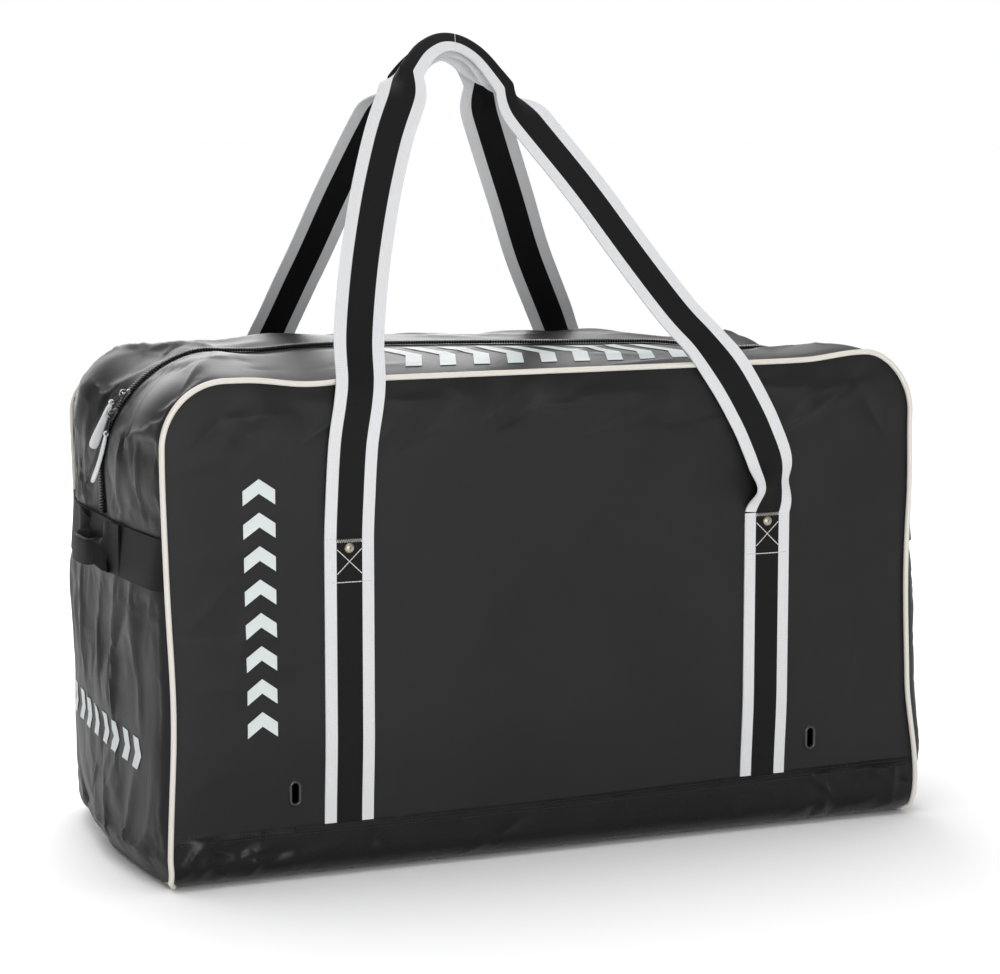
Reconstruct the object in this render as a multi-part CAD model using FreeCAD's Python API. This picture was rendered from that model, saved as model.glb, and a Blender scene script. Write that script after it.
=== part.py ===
"""Soft carry bag for team ice hockey kit: piped fabric shell, zipped top, webbing handles.

X is the bag's length, Y its depth (front at -Y) and Z is up; millimetres throughout.
The origin is the centre of the footprint, on the floor.
"""
import FreeCAD, Part
import math
import os

# Bag body, measured over the fabric
LENGTH = 810.0
DEPTH = 365.0
HEIGHT = 485.0
CROWN = 15.0             # how far the zip line stands above the piped top edges
END_BULGE = 9.0          # how far each end swells between its piped edges
CORNER_R = 60.0          # top corners at the piping
CROWN_R = 120.0          # top corners at the zip line
FOOT_R = 20.0            # bottom corners seen from the front
ROLL_R = 25.0            # bottom edges seen from the end
WALL = 3.0               # fabric with its lining and padding
BAND_TOP = 54.0          # top of the coated base band
FOOT_SEAM = 20.0         # height of the seam between base and end panel
SPLIT_Z = 341.0          # each end is split for the zip above this height
FLAP_HALF = 290.0        # each top flap opens over this half length
CUT = 0.3                # clearance on each side of a cut between moving pieces
PAST = 60.0              # how far a cutting block reaches past the bag
OVERCUT = 1.0            # how far a hole's cutter reaches past the piece
END_ZONE = 30.0          # end panels reach this far in from their corner's centre

# Piping
PIPE_R = 2.75
PIPE_OUT = 1.5           # cord's centre outside the panel outline
PIPE_Y = 184.0
PIPE_GAP = 0.3           # clearance between the foot cords and their neighbours
GUSSET_Y = 180.8         # gusset panels stop short of the piping
FLAP_Y = 180.3
PANEL_INSET = 3.5        # the long panels stop inside the piping
BASE_INSET = 3.0         # the base's side bands stop inside the ends

# Webbing
WEB = 50.0
WEB_T = 2.0
STRAP_X = 225.0
STRAP_GAP = 0.1
WEB_END = 1.0            # webbing stops this short of a seam or of the next run
STITCH_Z = 331.0         # the sewn run ends and the free handle starts here
BOX_Z = 289.0            # foot of the stitched box
THREAD = 0.4
CROSS_LOW = 8.0          # the stitched cross above the box's foot and below the rivet
CROSS_HIGH = 1.0
CLOSING_INSET = 2.0
ZIGZAG_COUNT = 14
ZIGZAG_H = 2.2
ZIGZAG_DROP = 3.5        # zigzag's lowest points below the end of the sewn run

# Carry handles
LIFT_Z = 490.0           # the handle leans inwards above this height
LEG_LAP = 0.4            # how far the upright legs reach into the leaning part
APEX = (-47.0, 793.0)
APEX_Y = 8.2
HANDLE_Y0 = 182.9        # depth of the legs where they leave the stitching
HANDLE_Y1 = 187.4        # depth of the legs at the top edge
GRIP_X0 = -112.0         # the webbing is folded in two between these
GRIP_X1 = 14.0
GRIP_T = 5.0
GRIP_STITCH = 22.0       # length of the thread across the grip
# Each plan has the place and width of the webbing from the left foot to the right
FRONT_PLAN = [
    (-215.0, 490.0, 50.0),
    (-176.0, 608.0, 49.0),
    (-138.0, 697.0, 43.0),
    (-99.0, 758.0, 30.0),
    (-47.0, 793.0, 25.0),
    (8.0, 762.0, 30.0),
    (50.0, 708.0, 43.0),
    (119.0, 608.0, 49.0),
    (193.0, 490.0, 50.0),
]
REAR_PLAN = [
    (-185.0, 490.0, 50.0),
    (-158.0, 608.0, 49.0),
    (-130.0, 697.0, 43.0),
    (-97.0, 758.0, 30.0),
    (-47.0, 793.0, 25.0),
    (5.0, 762.0, 30.0),
    (44.0, 708.0, 43.0),
    (103.0, 608.0, 49.0),
    (165.0, 490.0, 50.0),
]

# Zip
TOOTH_Y = 3.6
ZIP_EDGE = TOOTH_Y + 0.4  # the fabric beside the teeth starts here
TEETH_PROUD = 1.0
TAPE_Y = 14.0
TAPE_GAP = 0.1
TAPE_T = 1.0
ZIP_FOOT = 0.5           # the zip starts this far above the split
V_TOP = 376.0
V_HALF = 11.0
SLIDER_LEN = 13.0
SLIDER_HALF = 5.0
SLIDER_LIP = 0.9
LIP_LOW = 0.4            # foot of the slider's lips, measured above the zip line
SLIDER_DEG = (51.3, 61.9)  # parked places, as angles round the corner from straight up
PLATE_LOW = 1.4          # slider plate, measured above the zip line
PLATE_TOP = 3.4
BRIDGE_HALF_L = 3.6
BRIDGE_HALF_T = 1.2
BRIDGE_H = 6.2
BRIDGE_R = 2.0
HOLE_H = 2.6             # link hole's centre above the plate
HOLE_R = 2.2
WIRE_R = 0.7
LINK_HALF = 3.6
LINK_BEND = 1.5
TAB_T = 3.0
TAB_TOP = [(2.6, 1.0), (3.4, 9.0)]     # half widths of the pull below its eye
TAB_BOTTOM = [(5.4, 7.0), (4.2, 1.2)]  # half widths of the pull above its foot
TAB_BOSS_PROUD = 0.2
TAB_BOSS_R = 3.0
TAB_EYE_R = 1.5
UPPER_PULL = ((-403.1, 4.0, 450.0), (-421.0, 12.0, 404.0))     # eye and tip at rest
LOWER_PULL = ((-411.5, -5.0, 420.0), (-424.0, -13.0, 372.0))

# Fasteners
RIVET_Z = 322.0
RIVET_R = 5.0
DOME_R = 7.0             # radius of the rivet head's rounding
SHANK_R = 1.5
WASHER_T = 1.0
EYELET_X = 280.0
EYELET_Z = 86.0
EYELET_RIM = (13.0, 27.0)     # width and height of the rim, barrel and slot
EYELET_BARREL = (9.0, 23.0)
EYELET_SLOT = (6.4, 19.5)
EYELET_PROUD = 1.5
EYELET_ROUND = 1.0

# End band and grab handle
BAND_Z0 = 290.0
BAND_Z1 = 340.0
GRAB_Y = 54.0            # inner edge of each sewn patch
GRAB_PATCH = 26.0
GRAB_OUT = 21.0          # reach of the free middle from the band
GRAB_SHOULDER = (22.0, 18.0)  # depth and reach where the free middle bends
GRAB_RAMP = (45.0, 4.0)       # depth and reach where the sewn end starts to rise
GRAB_FOLD = 24.0         # height of the folded webbing
GRAB_T = 4.0
GRAB_CUT = 38.0          # the free middle starts here
GRAB_LIFT = 10.5
GRAB_Z = 313.0
GRAB_GAP = 0.4
GRAB_LAP = 2.0           # how far a patch laps under its rising end

HALF_L = LENGTH / 2
HALF_D = DEPTH / 2
ORIGIN = FreeCAD.Vector(0, 0, 0)
X_AXIS = FreeCAD.Vector(1, 0, 0)
Y_AXIS = FreeCAD.Vector(0, 1, 0)
Z_AXIS = FreeCAD.Vector(0, 0, 1)


def vec(x, y, z):
    """A point or direction."""
    return FreeCAD.Vector(x, y, z)


def block(x0, x1, y0, y1, z0, z1):
    """Box between two corners."""
    return Part.makeBox(x1 - x0, y1 - y0, z1 - z0, vec(x0, y0, z0))


def flip_x(shape):
    """The same piece for the other end of the bag."""
    return shape.mirror(ORIGIN, X_AXIS)


def flip_y(shape):
    """The same piece for the other long side of the bag."""
    return shape.mirror(ORIGIN, Y_AXIS)


def outline(y, inset):
    """Closed outline of the bag seen from the front, at depth y, moved inwards by inset."""
    swell = 1 - (y / HALF_D) ** 2
    x = HALF_L + END_BULGE * swell - inset
    top = HEIGHT + CROWN * swell - inset
    r = CORNER_R + (CROWN_R - CORNER_R) * swell - inset
    foot = FOOT_R - inset
    low = inset
    k = 1 - math.sqrt(0.5)
    edges = [
        Part.makeLine(vec(-x + foot, y, low), vec(x - foot, y, low)),
        Part.Arc(
            vec(x - foot, y, low), vec(x - foot * k, y, low + foot * k), vec(x, y, low + foot)
        ).toShape(),
        Part.makeLine(vec(x, y, low + foot), vec(x, y, top - r)),
        Part.Arc(
            vec(x, y, top - r), vec(x - r * k, y, top - r * k), vec(x - r, y, top)
        ).toShape(),
        Part.makeLine(vec(x - r, y, top), vec(-x + r, y, top)),
        Part.Arc(
            vec(-x + r, y, top), vec(-x + r * k, y, top - r * k), vec(-x, y, top - r)
        ).toShape(),
        Part.makeLine(vec(-x, y, top - r), vec(-x, y, low + foot)),
        Part.Arc(
            vec(-x, y, low + foot), vec(-x + foot * k, y, low + foot * k), vec(-x + foot, y, low)
        ).toShape(),
    ]
    return Part.Wire(edges)


LOFTS = {}


def swollen(inset):
    """Solid inside the bag's outer surface moved inwards by inset."""
    if inset not in LOFTS:
        wires = [outline(y, inset) for y in (-HALF_D, 0.0, HALF_D)]
        LOFTS[inset] = Part.makeLoft(wires, True, False)
    return LOFTS[inset]


def skin(outer, inner):
    """The layer between two depths below the bag's outer surface."""
    return swollen(outer).cut(swollen(inner))


def main_panel():
    """Front panel above the base band, with holes for eyelets and rivets."""
    face = Part.Face(outline(HALF_D, PANEL_INSET))
    slab = face.extrude(vec(0, -WALL, 0))
    slab.translate(vec(0, -HALF_D + WALL - HALF_D, 0))
    slab = slab.common(block(-HALF_L, HALF_L, -HALF_D, -HALF_D + WALL, BAND_TOP, HEIGHT))
    for side in (-1, 1):
        slab = slab.cut(
            obround(side * EYELET_X, EYELET_BARREL, -HALF_D - OVERCUT, -HALF_D + WALL + OVERCUT)
        )
        slab = slab.cut(shank(side * STRAP_X, -HALF_D - OVERCUT, WALL + 2 * OVERCUT))
    return slab


def shank(x, y, length):
    """Rivet shank, or the hole for it."""
    return Part.makeCylinder(SHANK_R, length, vec(x, y, RIVET_Z), Y_AXIS)


def obround(x, size, y0, y1):
    """Prism along Y with an upright slot shape, at an eyelet's height."""
    z = EYELET_Z
    r = size[0] / 2
    h = size[1] / 2 - r
    edges = [
        Part.makeLine(vec(x - r, y0, z - h), vec(x - r, y0, z + h)),
        Part.Arc(vec(x - r, y0, z + h), vec(x, y0, z + h + r), vec(x + r, y0, z + h)).toShape(),
        Part.makeLine(vec(x + r, y0, z + h), vec(x + r, y0, z - h)),
        Part.Arc(vec(x + r, y0, z - h), vec(x, y0, z - h - r), vec(x - r, y0, z - h)).toShape(),
    ]
    return Part.Face(Part.Wire(edges)).extrude(vec(0, y1 - y0, 0))


def end_zone(z0, z1):
    """Region at the left end between two heights, short of the piping."""
    x1 = -HALF_L + CROWN_R + END_ZONE
    return block(-HALF_L - PAST, x1, -GUSSET_Y, GUSSET_Y, z0, z1)


def end_panel():
    """Left end panel, from the base seam up to where the end is split for the zip."""
    return skin(0.0, WALL).common(end_zone(FOOT_SEAM, SPLIT_Z))


def base_panel():
    """Coated base: a trough with rolled edges, turned up a little at both ends."""
    trough = rolled(0.0).cut(rolled(WALL))
    trough = trough.common(swollen(0.0))
    ends = skin(0.0, WALL).common(rolled(0.0))
    lip = FOOT_SEAM - 2 * PIPE_R - PIPE_GAP
    low = block(-HALF_L - PAST, HALF_L + PAST, -HALF_D, HALF_D, 0, lip)
    reach = HALF_L - BASE_INSET
    trough = trough.common(block(-reach, reach, -HALF_D, HALF_D, 0, BAND_TOP))
    return trough.fuse(ends.common(low)).removeSplitter()


def rolled(inset):
    """Full-length prism whose bottom long edges are rounded."""
    y = HALF_D - inset
    r = ROLL_R - inset
    k = r * (1 - math.sqrt(0.5))
    x0 = -HALF_L - PAST
    top = HEIGHT
    edges = [
        Part.makeLine(vec(x0, -y + r, inset), vec(x0, y - r, inset)),
        Part.Arc(
            vec(x0, y - r, inset), vec(x0, y - k, inset + k), vec(x0, y, inset + r)
        ).toShape(),
        Part.makeLine(vec(x0, y, inset + r), vec(x0, y, top)),
        Part.makeLine(vec(x0, y, top), vec(x0, -y, top)),
        Part.makeLine(vec(x0, -y, top), vec(x0, -y, inset + r)),
        Part.Arc(
            vec(x0, -y, inset + r), vec(x0, -y + k, inset + k), vec(x0, -y + r, inset)
        ).toShape(),
    ]
    return Part.Face(Part.Wire(edges)).extrude(vec(LENGTH + 2 * PAST, 0, 0))


def zip_notch():
    """Prism that spreads the split panels' edges apart at the foot of the zip."""
    x = -HALF_L - PAST
    points = [
        vec(x, -V_HALF, SPLIT_Z - OVERCUT),
        vec(x, V_HALF, SPLIT_Z - OVERCUT),
        vec(x, 0, V_TOP),
        vec(x, -V_HALF, SPLIT_Z - OVERCUT),
    ]
    return Part.Face(Part.makePolygon(points)).extrude(vec(2 * PAST, 0, 0))


def corner_panel():
    """Front half of the left top corner, beside the fixed stretch of the zip."""
    x1 = -FLAP_HALF - CUT
    zone = block(-HALF_L - PAST, x1, -GUSSET_Y, -ZIP_EDGE, SPLIT_Z, HEIGHT + PAST)
    return skin(0.0, WALL).common(zone).cut(zip_notch())


def top_flap():
    """Front half of the top between the corners; it opens about the front top edge."""
    zone = block(
        -FLAP_HALF + CUT, FLAP_HALF - CUT, -FLAP_Y, -ZIP_EDGE, HEIGHT - PAST, HEIGHT + PAST
    )
    return skin(0.0, WALL).common(zone)


def zip_zone(y0, y1, fixed):
    """Region of one zip half: the fixed stretch at the left corner, or the opening stretch."""
    if fixed:
        x0 = -HALF_L - PAST
        return block(x0, -FLAP_HALF - CUT, y0, y1, SPLIT_Z + ZIP_FOOT, HEIGHT + PAST)
    return block(-FLAP_HALF + CUT, FLAP_HALF - CUT, y0, y1, HEIGHT - PAST, HEIGHT + PAST)


def zip_teeth(fixed):
    """Front row of coil teeth, as a plain strip."""
    return skin(-TEETH_PROUD, WALL).common(zip_zone(-TOOTH_Y, -CUT, fixed))


def zip_tape(fixed):
    """Front tape, sewn under the edge of the fabric."""
    under = WALL + TAPE_GAP
    return skin(under, under + TAPE_T).common(zip_zone(-TAPE_Y, -CUT, fixed))


def piping():
    """Front piping: up both ends and along the top of the front panel."""
    wire = outline(HALF_D, -PIPE_OUT)
    wire.translate(vec(0, -PIPE_Y - HALF_D, 0))
    route = Part.Wire(Part.sortEdges(wire.Edges[2:7])[0])
    start = vec(HALF_L + PIPE_OUT, -PIPE_Y, FOOT_R)
    ring = Part.Wire(Part.makeCircle(PIPE_R, start, Z_AXIS))
    return route.makePipeShell([ring], True, False)


def base_piping():
    """Piping along the foot of the left end panel, between it and the base."""
    x = -HALF_L - PIPE_OUT
    y = PIPE_Y - PIPE_R - PIPE_GAP
    z = FOOT_SEAM - PIPE_R
    middle = vec(x - END_BULGE, 0, z)
    edge = Part.Arc(vec(x, -y, z), middle, vec(x, y, z)).toShape()
    ring = Part.Wire(Part.makeCircle(PIPE_R, vec(x, -y, z), edge.tangentAt(edge.FirstParameter)))
    return Part.Wire(edge).makePipeShell([ring], True, False)


def strap(x):
    """Webbing sewn flat to the front panel, up from the base band."""
    y = -HALF_D - STRAP_GAP
    band = block(x - WEB / 2, x + WEB / 2, y - WEB_T, y, BAND_TOP + WEB_END, STITCH_Z)
    return band.cut(shank(x, y - WEB_T - OVERCUT, WEB_T + 2 * OVERCUT))


def stitching():
    """Thread over both front straps: a cross, a closing line and a zigzag."""
    pieces = []
    for x in (-STRAP_X, STRAP_X):
        pieces.append(cross_stitch(x))
        pieces.append(closing_stitch(x))
        pieces.append(zigzag_stitch(x))
    return Part.makeCompound(pieces)


def thread_y():
    """Depth of the thread's inner side, on the strap's face."""
    return -HALF_D - STRAP_GAP - WEB_T


def cross_stitch(x):
    """X of thread below the rivet."""
    y = thread_y()
    low = BOX_Z + CROSS_LOW
    high = RIVET_Z - CROSS_HIGH
    middle = vec(x, y, (low + high) / 2)
    reach = math.hypot(WEB / 4, (high - low) / 2)
    tilt = math.degrees(math.atan2((high - low) / 2, WEB / 4))
    arms = []
    for angle in (tilt, -tilt):
        arm = block(-reach, reach, -THREAD, 0, -THREAD, THREAD)
        arm.rotate(ORIGIN, Y_AXIS, angle)
        arm.translate(middle)
        arms.append(arm)
    return arms[0].fuse(arms[1])


def closing_stitch(x):
    """Straight line of thread at the foot of the stitched box."""
    y = thread_y()
    reach = WEB / 2 - CLOSING_INSET
    return block(x - reach, x + reach, y - THREAD, y, BOX_Z - THREAD, BOX_Z + THREAD)


def zigzag_stitch(x):
    """Zigzag of thread across the black part of the webbing."""
    y = thread_y()
    pitch = WEB / 2 / ZIGZAG_COUNT
    top = []
    for i in range(ZIGZAG_COUNT + 1):
        z = STITCH_Z - ZIGZAG_DROP + ZIGZAG_H * (i % 2)
        top.append(vec(x - WEB / 4 + i * pitch, y, z))
    low = [p - vec(0, 0, 2 * THREAD) for p in reversed(top)]
    return Part.Face(Part.makePolygon(top + low + [top[0]])).extrude(vec(0, -THREAD, 0))


def rivets():
    """Two domed rivets through the front straps and the panel."""
    pieces = []
    for x in (-STRAP_X, STRAP_X):
        face = thread_y()
        sink = math.sqrt(DOME_R ** 2 - RIVET_R ** 2)
        dome = Part.makeSphere(DOME_R, vec(x, face + sink, RIVET_Z))
        dome = dome.common(
            block(x - DOME_R, x + DOME_R, face - DOME_R, face, RIVET_Z - DOME_R, RIVET_Z + DOME_R)
        )
        pieces.append(dome.fuse(shank(x, face, WEB_T + STRAP_GAP + WALL + WASHER_T)))
    return Part.makeCompound(pieces)


def washers():
    """Discs that back the rivets inside the bag."""
    pieces = []
    for x in (-STRAP_X, STRAP_X):
        y = -HALF_D + WALL
        disc = Part.makeCylinder(RIVET_R, WASHER_T, vec(x, y, RIVET_Z), Y_AXIS)
        pieces.append(disc.cut(shank(x, y - OVERCUT, WASHER_T + 2 * OVERCUT)))
    return Part.makeCompound(pieces)


def eyelets():
    """Two slot-shaped grommets near the foot of the front panel."""
    pieces = []
    for x in (-EYELET_X, EYELET_X):
        face = -HALF_D
        rim = obround(x, EYELET_RIM, face - EYELET_PROUD, face)
        outer = rim.makeFillet(EYELET_ROUND, [e for e in rim.Edges if edge_at(e, face - EYELET_PROUD)])
        barrel = obround(x, EYELET_BARREL, face, face + WALL)
        back = obround(x, EYELET_RIM, face + WALL, face + WALL + WASHER_T)
        slot = obround(x, EYELET_SLOT, face - WALL, face + 2 * WALL)
        pieces.append(outer.fuse(barrel).fuse(back).cut(slot))
    return Part.makeCompound(pieces)


def edge_at(edge, y):
    """Whether an edge lies wholly at one depth."""
    box = edge.BoundBox
    return abs(box.YMin - y) < 0.01 and abs(box.YMax - y) < 0.01


def offset_line(points, widths, side):
    """Curve beside a centre line of (u, v) points, at half the given widths."""
    out = []
    last = len(points) - 1
    for i, (u, v) in enumerate(points):
        half = side * widths[i] / 2
        if i in (0, last):
            out.append((u - half if i == 0 else u + half, v))
            continue
        u0, v0 = points[i - 1]
        u1, v1 = points[i + 1]
        size = math.hypot(u1 - u0, v1 - v0)
        out.append((u - half * (v1 - v0) / size, v + half * (u1 - u0) / size))
    return out


def ribbon(points, widths, thickness):
    """Flat band around a centre line in the XZ plane, centred on Y = 0."""
    sides = []
    for side in (1, -1):
        line = [vec(u, -thickness / 2, v) for u, v in offset_line(points, widths, side)]
        curve = Part.BSplineCurve()
        curve.interpolate(line)
        sides.append(curve.toShape())
    far = [s.Vertexes[-1].Point for s in sides]
    near = [s.Vertexes[0].Point for s in sides]
    wire = Part.Wire(
        Part.sortEdges(
            [sides[0], Part.makeLine(far[0], far[1]), sides[1], Part.makeLine(near[1], near[0])]
        )[0]
    )
    return Part.Face(wire).extrude(vec(0, thickness, 0))


def lean_deg():
    """Angle of the upper handle from upright."""
    return math.degrees(math.atan2(HANDLE_Y1 - APEX_Y, APEX[1] - LIFT_Z))


def upper_handle(plan):
    """Leaning part of the front handle: two legs and the folded grip between them."""
    slope = math.cos(math.radians(lean_deg()))
    points = [(x, (z - LIFT_Z) / slope) for x, z, _ in plan]
    widths = [w for _, _, w in plan]
    legs = ribbon(points, widths, WEB_T)
    grip = ribbon(points, widths, GRIP_T)
    grip = grip.common(block(GRIP_X0, GRIP_X1, -GRIP_T, GRIP_T, 0, HEIGHT))
    shape = legs.fuse(grip)
    shape.rotate(ORIGIN, X_AXIS, -lean_deg())
    shape.translate(vec(0, -HANDLE_Y1 - WEB_T / 2, LIFT_Z))
    return shape


def lower_leg(x_foot, x_top):
    """Upright part of a leg, from the stitching to the top edge of the bag."""
    sections = [
        leg_section(x_foot, -HANDLE_Y0, STITCH_Z + WEB_END),
        leg_section(x_top, -HANDLE_Y1, LIFT_Z + LEG_LAP),
    ]
    return Part.makeLoft(sections, True, True)


def leg_section(x, y, z):
    """Level cut through a leg."""
    half = WEB / 2
    points = [
        vec(x - half, y, z),
        vec(x + half, y, z),
        vec(x + half, y - WEB_T, z),
        vec(x - half, y - WEB_T, z),
        vec(x - half, y, z),
    ]
    return Part.makePolygon(points)


def handle(plan):
    """Free loop of the front handle."""
    left = lower_leg(-STRAP_X, plan[0][0])
    right = lower_leg(STRAP_X, plan[-1][0])
    return upper_handle(plan).fuse(left).fuse(right)


def end_band():
    """Flat webbing across the left end."""
    return skin(-WEB_T, 0.0).common(end_zone(BAND_Z0, BAND_Z1))


def grab_x(y):
    """Outside of the end band at a depth."""
    return -HALF_L - END_BULGE * (1 - (y / HALF_D) ** 2) - WEB_T


def grab_route():
    """Plan of the left grab handle from its sewn end to the middle, as (y, x) points."""
    x = grab_x(GRAB_Y) - GRAB_GAP - GRAB_T / 2
    return [
        (GRAB_Y - GRAB_LAP / 2, x),
        (GRAB_RAMP[0], x - GRAB_RAMP[1]),
        (GRAB_CUT, x - GRAB_LIFT),
        (GRAB_SHOULDER[0], x - GRAB_SHOULDER[1]),
        (0.0, x - GRAB_OUT),
    ]


def folded_web(route):
    """Webbing folded lengthwise along a plan of (y, x) points."""
    edges = []
    for side in (-1, 1):
        curve = Part.BSplineCurve()
        curve.interpolate([vec(x + side * GRAB_T / 2, y, 0) for y, x in route])
        edges.append(curve.toShape())
    for y, x in (route[0], route[-1]):
        edges.append(Part.makeLine(vec(x - GRAB_T / 2, y, 0), vec(x + GRAB_T / 2, y, 0)))
    face = Part.Face(Part.Wire(Part.sortEdges(edges)[0]))
    face.translate(vec(0, 0, GRAB_Z - GRAB_FOLD / 2))
    return face.extrude(vec(0, 0, GRAB_FOLD))


def grab_feet():
    """Ends of the left grab handle: a patch sewn on the band, then the rising stretch."""
    x = grab_x(GRAB_Y) - GRAB_GAP
    y = GRAB_Y - GRAB_LAP
    patch = block(x - GRAB_T, x, y, y + GRAB_PATCH, BAND_Z0 + WEB_END, BAND_Z1 - WEB_END)
    foot = patch.fuse(folded_web(grab_route()[:3]))
    return Part.makeCompound([foot, flip_y(foot)])


def grab_loop():
    """Free middle of the left grab handle."""
    half = grab_route()
    whole = folded_web(half + [(-y, x) for y, x in reversed(half[:-1])])
    reach = GRAB_CUT - CUT
    return whole.common(block(-HALF_L - PAST, -HALF_L, -reach, reach, BAND_Z0, BAND_Z1))


def arc_centre():
    """Centre of the zip line's left corner."""
    return vec(-HALF_L - END_BULGE + CROWN_R, 0, HEIGHT + CROWN - CROWN_R)


def on_arc(height, degrees):
    """Point above the zip line's corner, at an angle from straight up."""
    angle = math.radians(degrees)
    reach = CROWN_R + height
    return arc_centre() + vec(-reach * math.sin(angle), 0, reach * math.cos(angle))


def arc_slice(low, high, half_y, degrees, span):
    """Curved slab over the zip line's corner."""
    centre = arc_centre()
    slab = Part.makeCylinder(CROWN_R + high, 2 * half_y, centre - vec(0, half_y, 0), Y_AXIS)
    slab = slab.cut(
        Part.makeCylinder(
            CROWN_R + low, 2 * (half_y + OVERCUT), centre - vec(0, half_y + OVERCUT, 0), Y_AXIS
        )
    )
    keep = block(-span / 2, span / 2, -half_y, half_y, CROWN_R - WALL, CROWN_R + PAST)
    keep.rotate(ORIGIN, Y_AXIS, -degrees)
    keep.translate(centre)
    return slab.common(keep)


def slider(degrees):
    """Zip slider: a curved plate over the teeth with a lip down each side."""
    plate = arc_slice(PLATE_LOW, PLATE_TOP, SLIDER_HALF, degrees, SLIDER_LEN)
    lips = arc_slice(LIP_LOW, PLATE_LOW, SLIDER_HALF, degrees, SLIDER_LEN)
    channel = SLIDER_HALF - SLIDER_LIP
    inner = arc_slice(0.0, PLATE_LOW, channel, degrees, SLIDER_LEN + 2 * OVERCUT)
    return plate.fuse(lips.cut(inner)).removeSplitter()


def slider_bridge(degrees):
    """Bridge on the slider that the pull's link runs through."""
    base = CROWN_R + PLATE_TOP
    half = BRIDGE_HALF_T
    arch = block(-BRIDGE_HALF_L, BRIDGE_HALF_L, -half, half, base, base + BRIDGE_H)
    middle = base + BRIDGE_H / 2
    rims = [e for e in arch.Edges if e.BoundBox.ZMin > middle and e.BoundBox.YLength > half]
    arch = arch.makeFillet(BRIDGE_R, rims)
    arch = arch.cut(Part.makeCylinder(HOLE_R, 4 * half, vec(0, -2 * half, base + HOLE_H), Y_AXIS))
    arch = arch.cut(Part.makeCylinder(base, 4 * half, vec(0, -2 * half, 0), Y_AXIS))
    arch.rotate(ORIGIN, Y_AXIS, -degrees)
    arch.translate(arc_centre())
    return arch


def frame_from(start, end):
    """Matrix taking +Z to the direction from start to end, keeping local Y near the row's Y."""
    z = (end - start).normalize()
    y = Y_AXIS - z * Y_AXIS.dot(z)
    y = y.normalize()
    x = y.cross(z)
    return FreeCAD.Matrix(
        x.x, y.x, z.x, start.x,
        x.y, y.y, z.y, start.y,
        x.z, y.z, z.z, start.z,
        0, 0, 0, 1,
    )


def pull_link(start, eye):
    """Wire link from the slider's bridge to the pull's eye."""
    length = (eye - start).Length
    half = LINK_HALF
    r = LINK_BEND
    k = r * (1 - math.sqrt(0.5))
    corners = [(-half, 0), (half, 0), (half, length), (-half, length)]
    edges = []
    for i in range(4):
        ay, az = corners[i]
        by, bz = corners[(i + 1) % 4]
        cy, cz = corners[(i + 2) % 4]
        size = math.hypot(by - ay, bz - az)
        uy, uz = (by - ay) / size, (bz - az) / size
        size = math.hypot(cy - by, cz - bz)
        wy, wz = (cy - by) / size, (cz - bz) / size
        bend0 = vec(0, by - uy * r, bz - uz * r)
        bend1 = vec(0, by + wy * r, bz + wz * r)
        middle = vec(0, by + (wy - uy) * k, bz + (wz - uz) * k)
        edges.append(Part.makeLine(vec(0, ay + uy * r, az + uz * r), bend0))
        edges.append(Part.Arc(bend0, middle, bend1).toShape())
    route = Part.Wire(edges)
    ring = Part.Wire(Part.makeCircle(WIRE_R, vec(0, -half + r, 0), Y_AXIS))
    link = route.makePipeShell([ring], True, False)
    return link.transformGeometry(frame_from(start, eye))


def pull_tab(eye, tip, flat_front):
    """Moulded pull with an eye at the top, wider towards its foot."""
    length = (tip - eye).Length
    left = [(half, z) for half, z in TAB_TOP]
    left += [(half, length - z) for half, z in TAB_BOTTOM]
    rim = [vec(-x, 0, z) for x, z in left] + [vec(0, 0, length)]
    rim += [vec(x, 0, z) for x, z in reversed(left)]
    side = Part.BSplineCurve()
    side.interpolate(rim)
    close = Part.makeLine(rim[-1], rim[0])
    blade = Part.Face(Part.Wire([side.toShape(), close])).extrude(vec(0, TAB_T, 0))
    blade.translate(vec(0, -TAB_T / 2, 0))
    if not flat_front:
        blade.rotate(ORIGIN, Z_AXIS, 90)
    half = TAB_T / 2 + TAB_BOSS_PROUD
    boss = Part.makeCylinder(TAB_BOSS_R, 2 * half, vec(0, -half, 0), Y_AXIS)
    eye_hole = Part.makeCylinder(TAB_EYE_R, 4 * half, vec(0, -2 * half, 0), Y_AXIS)
    tab = blade.fuse(boss).cut(eye_hole)
    return tab.transformGeometry(frame_from(eye, tip))


def grip_stitch():
    """Single row of thread across the top of the front grip."""
    half = GRIP_T / 2
    reach = GRIP_STITCH / 2
    band = block(APEX[0] - THREAD, APEX[0] + THREAD, -half - THREAD, -half, -reach, reach)
    band.rotate(ORIGIN, X_AXIS, -lean_deg())
    band.translate(vec(0, -APEX_Y - WEB_T / 2, APEX[1]))
    return band


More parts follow.
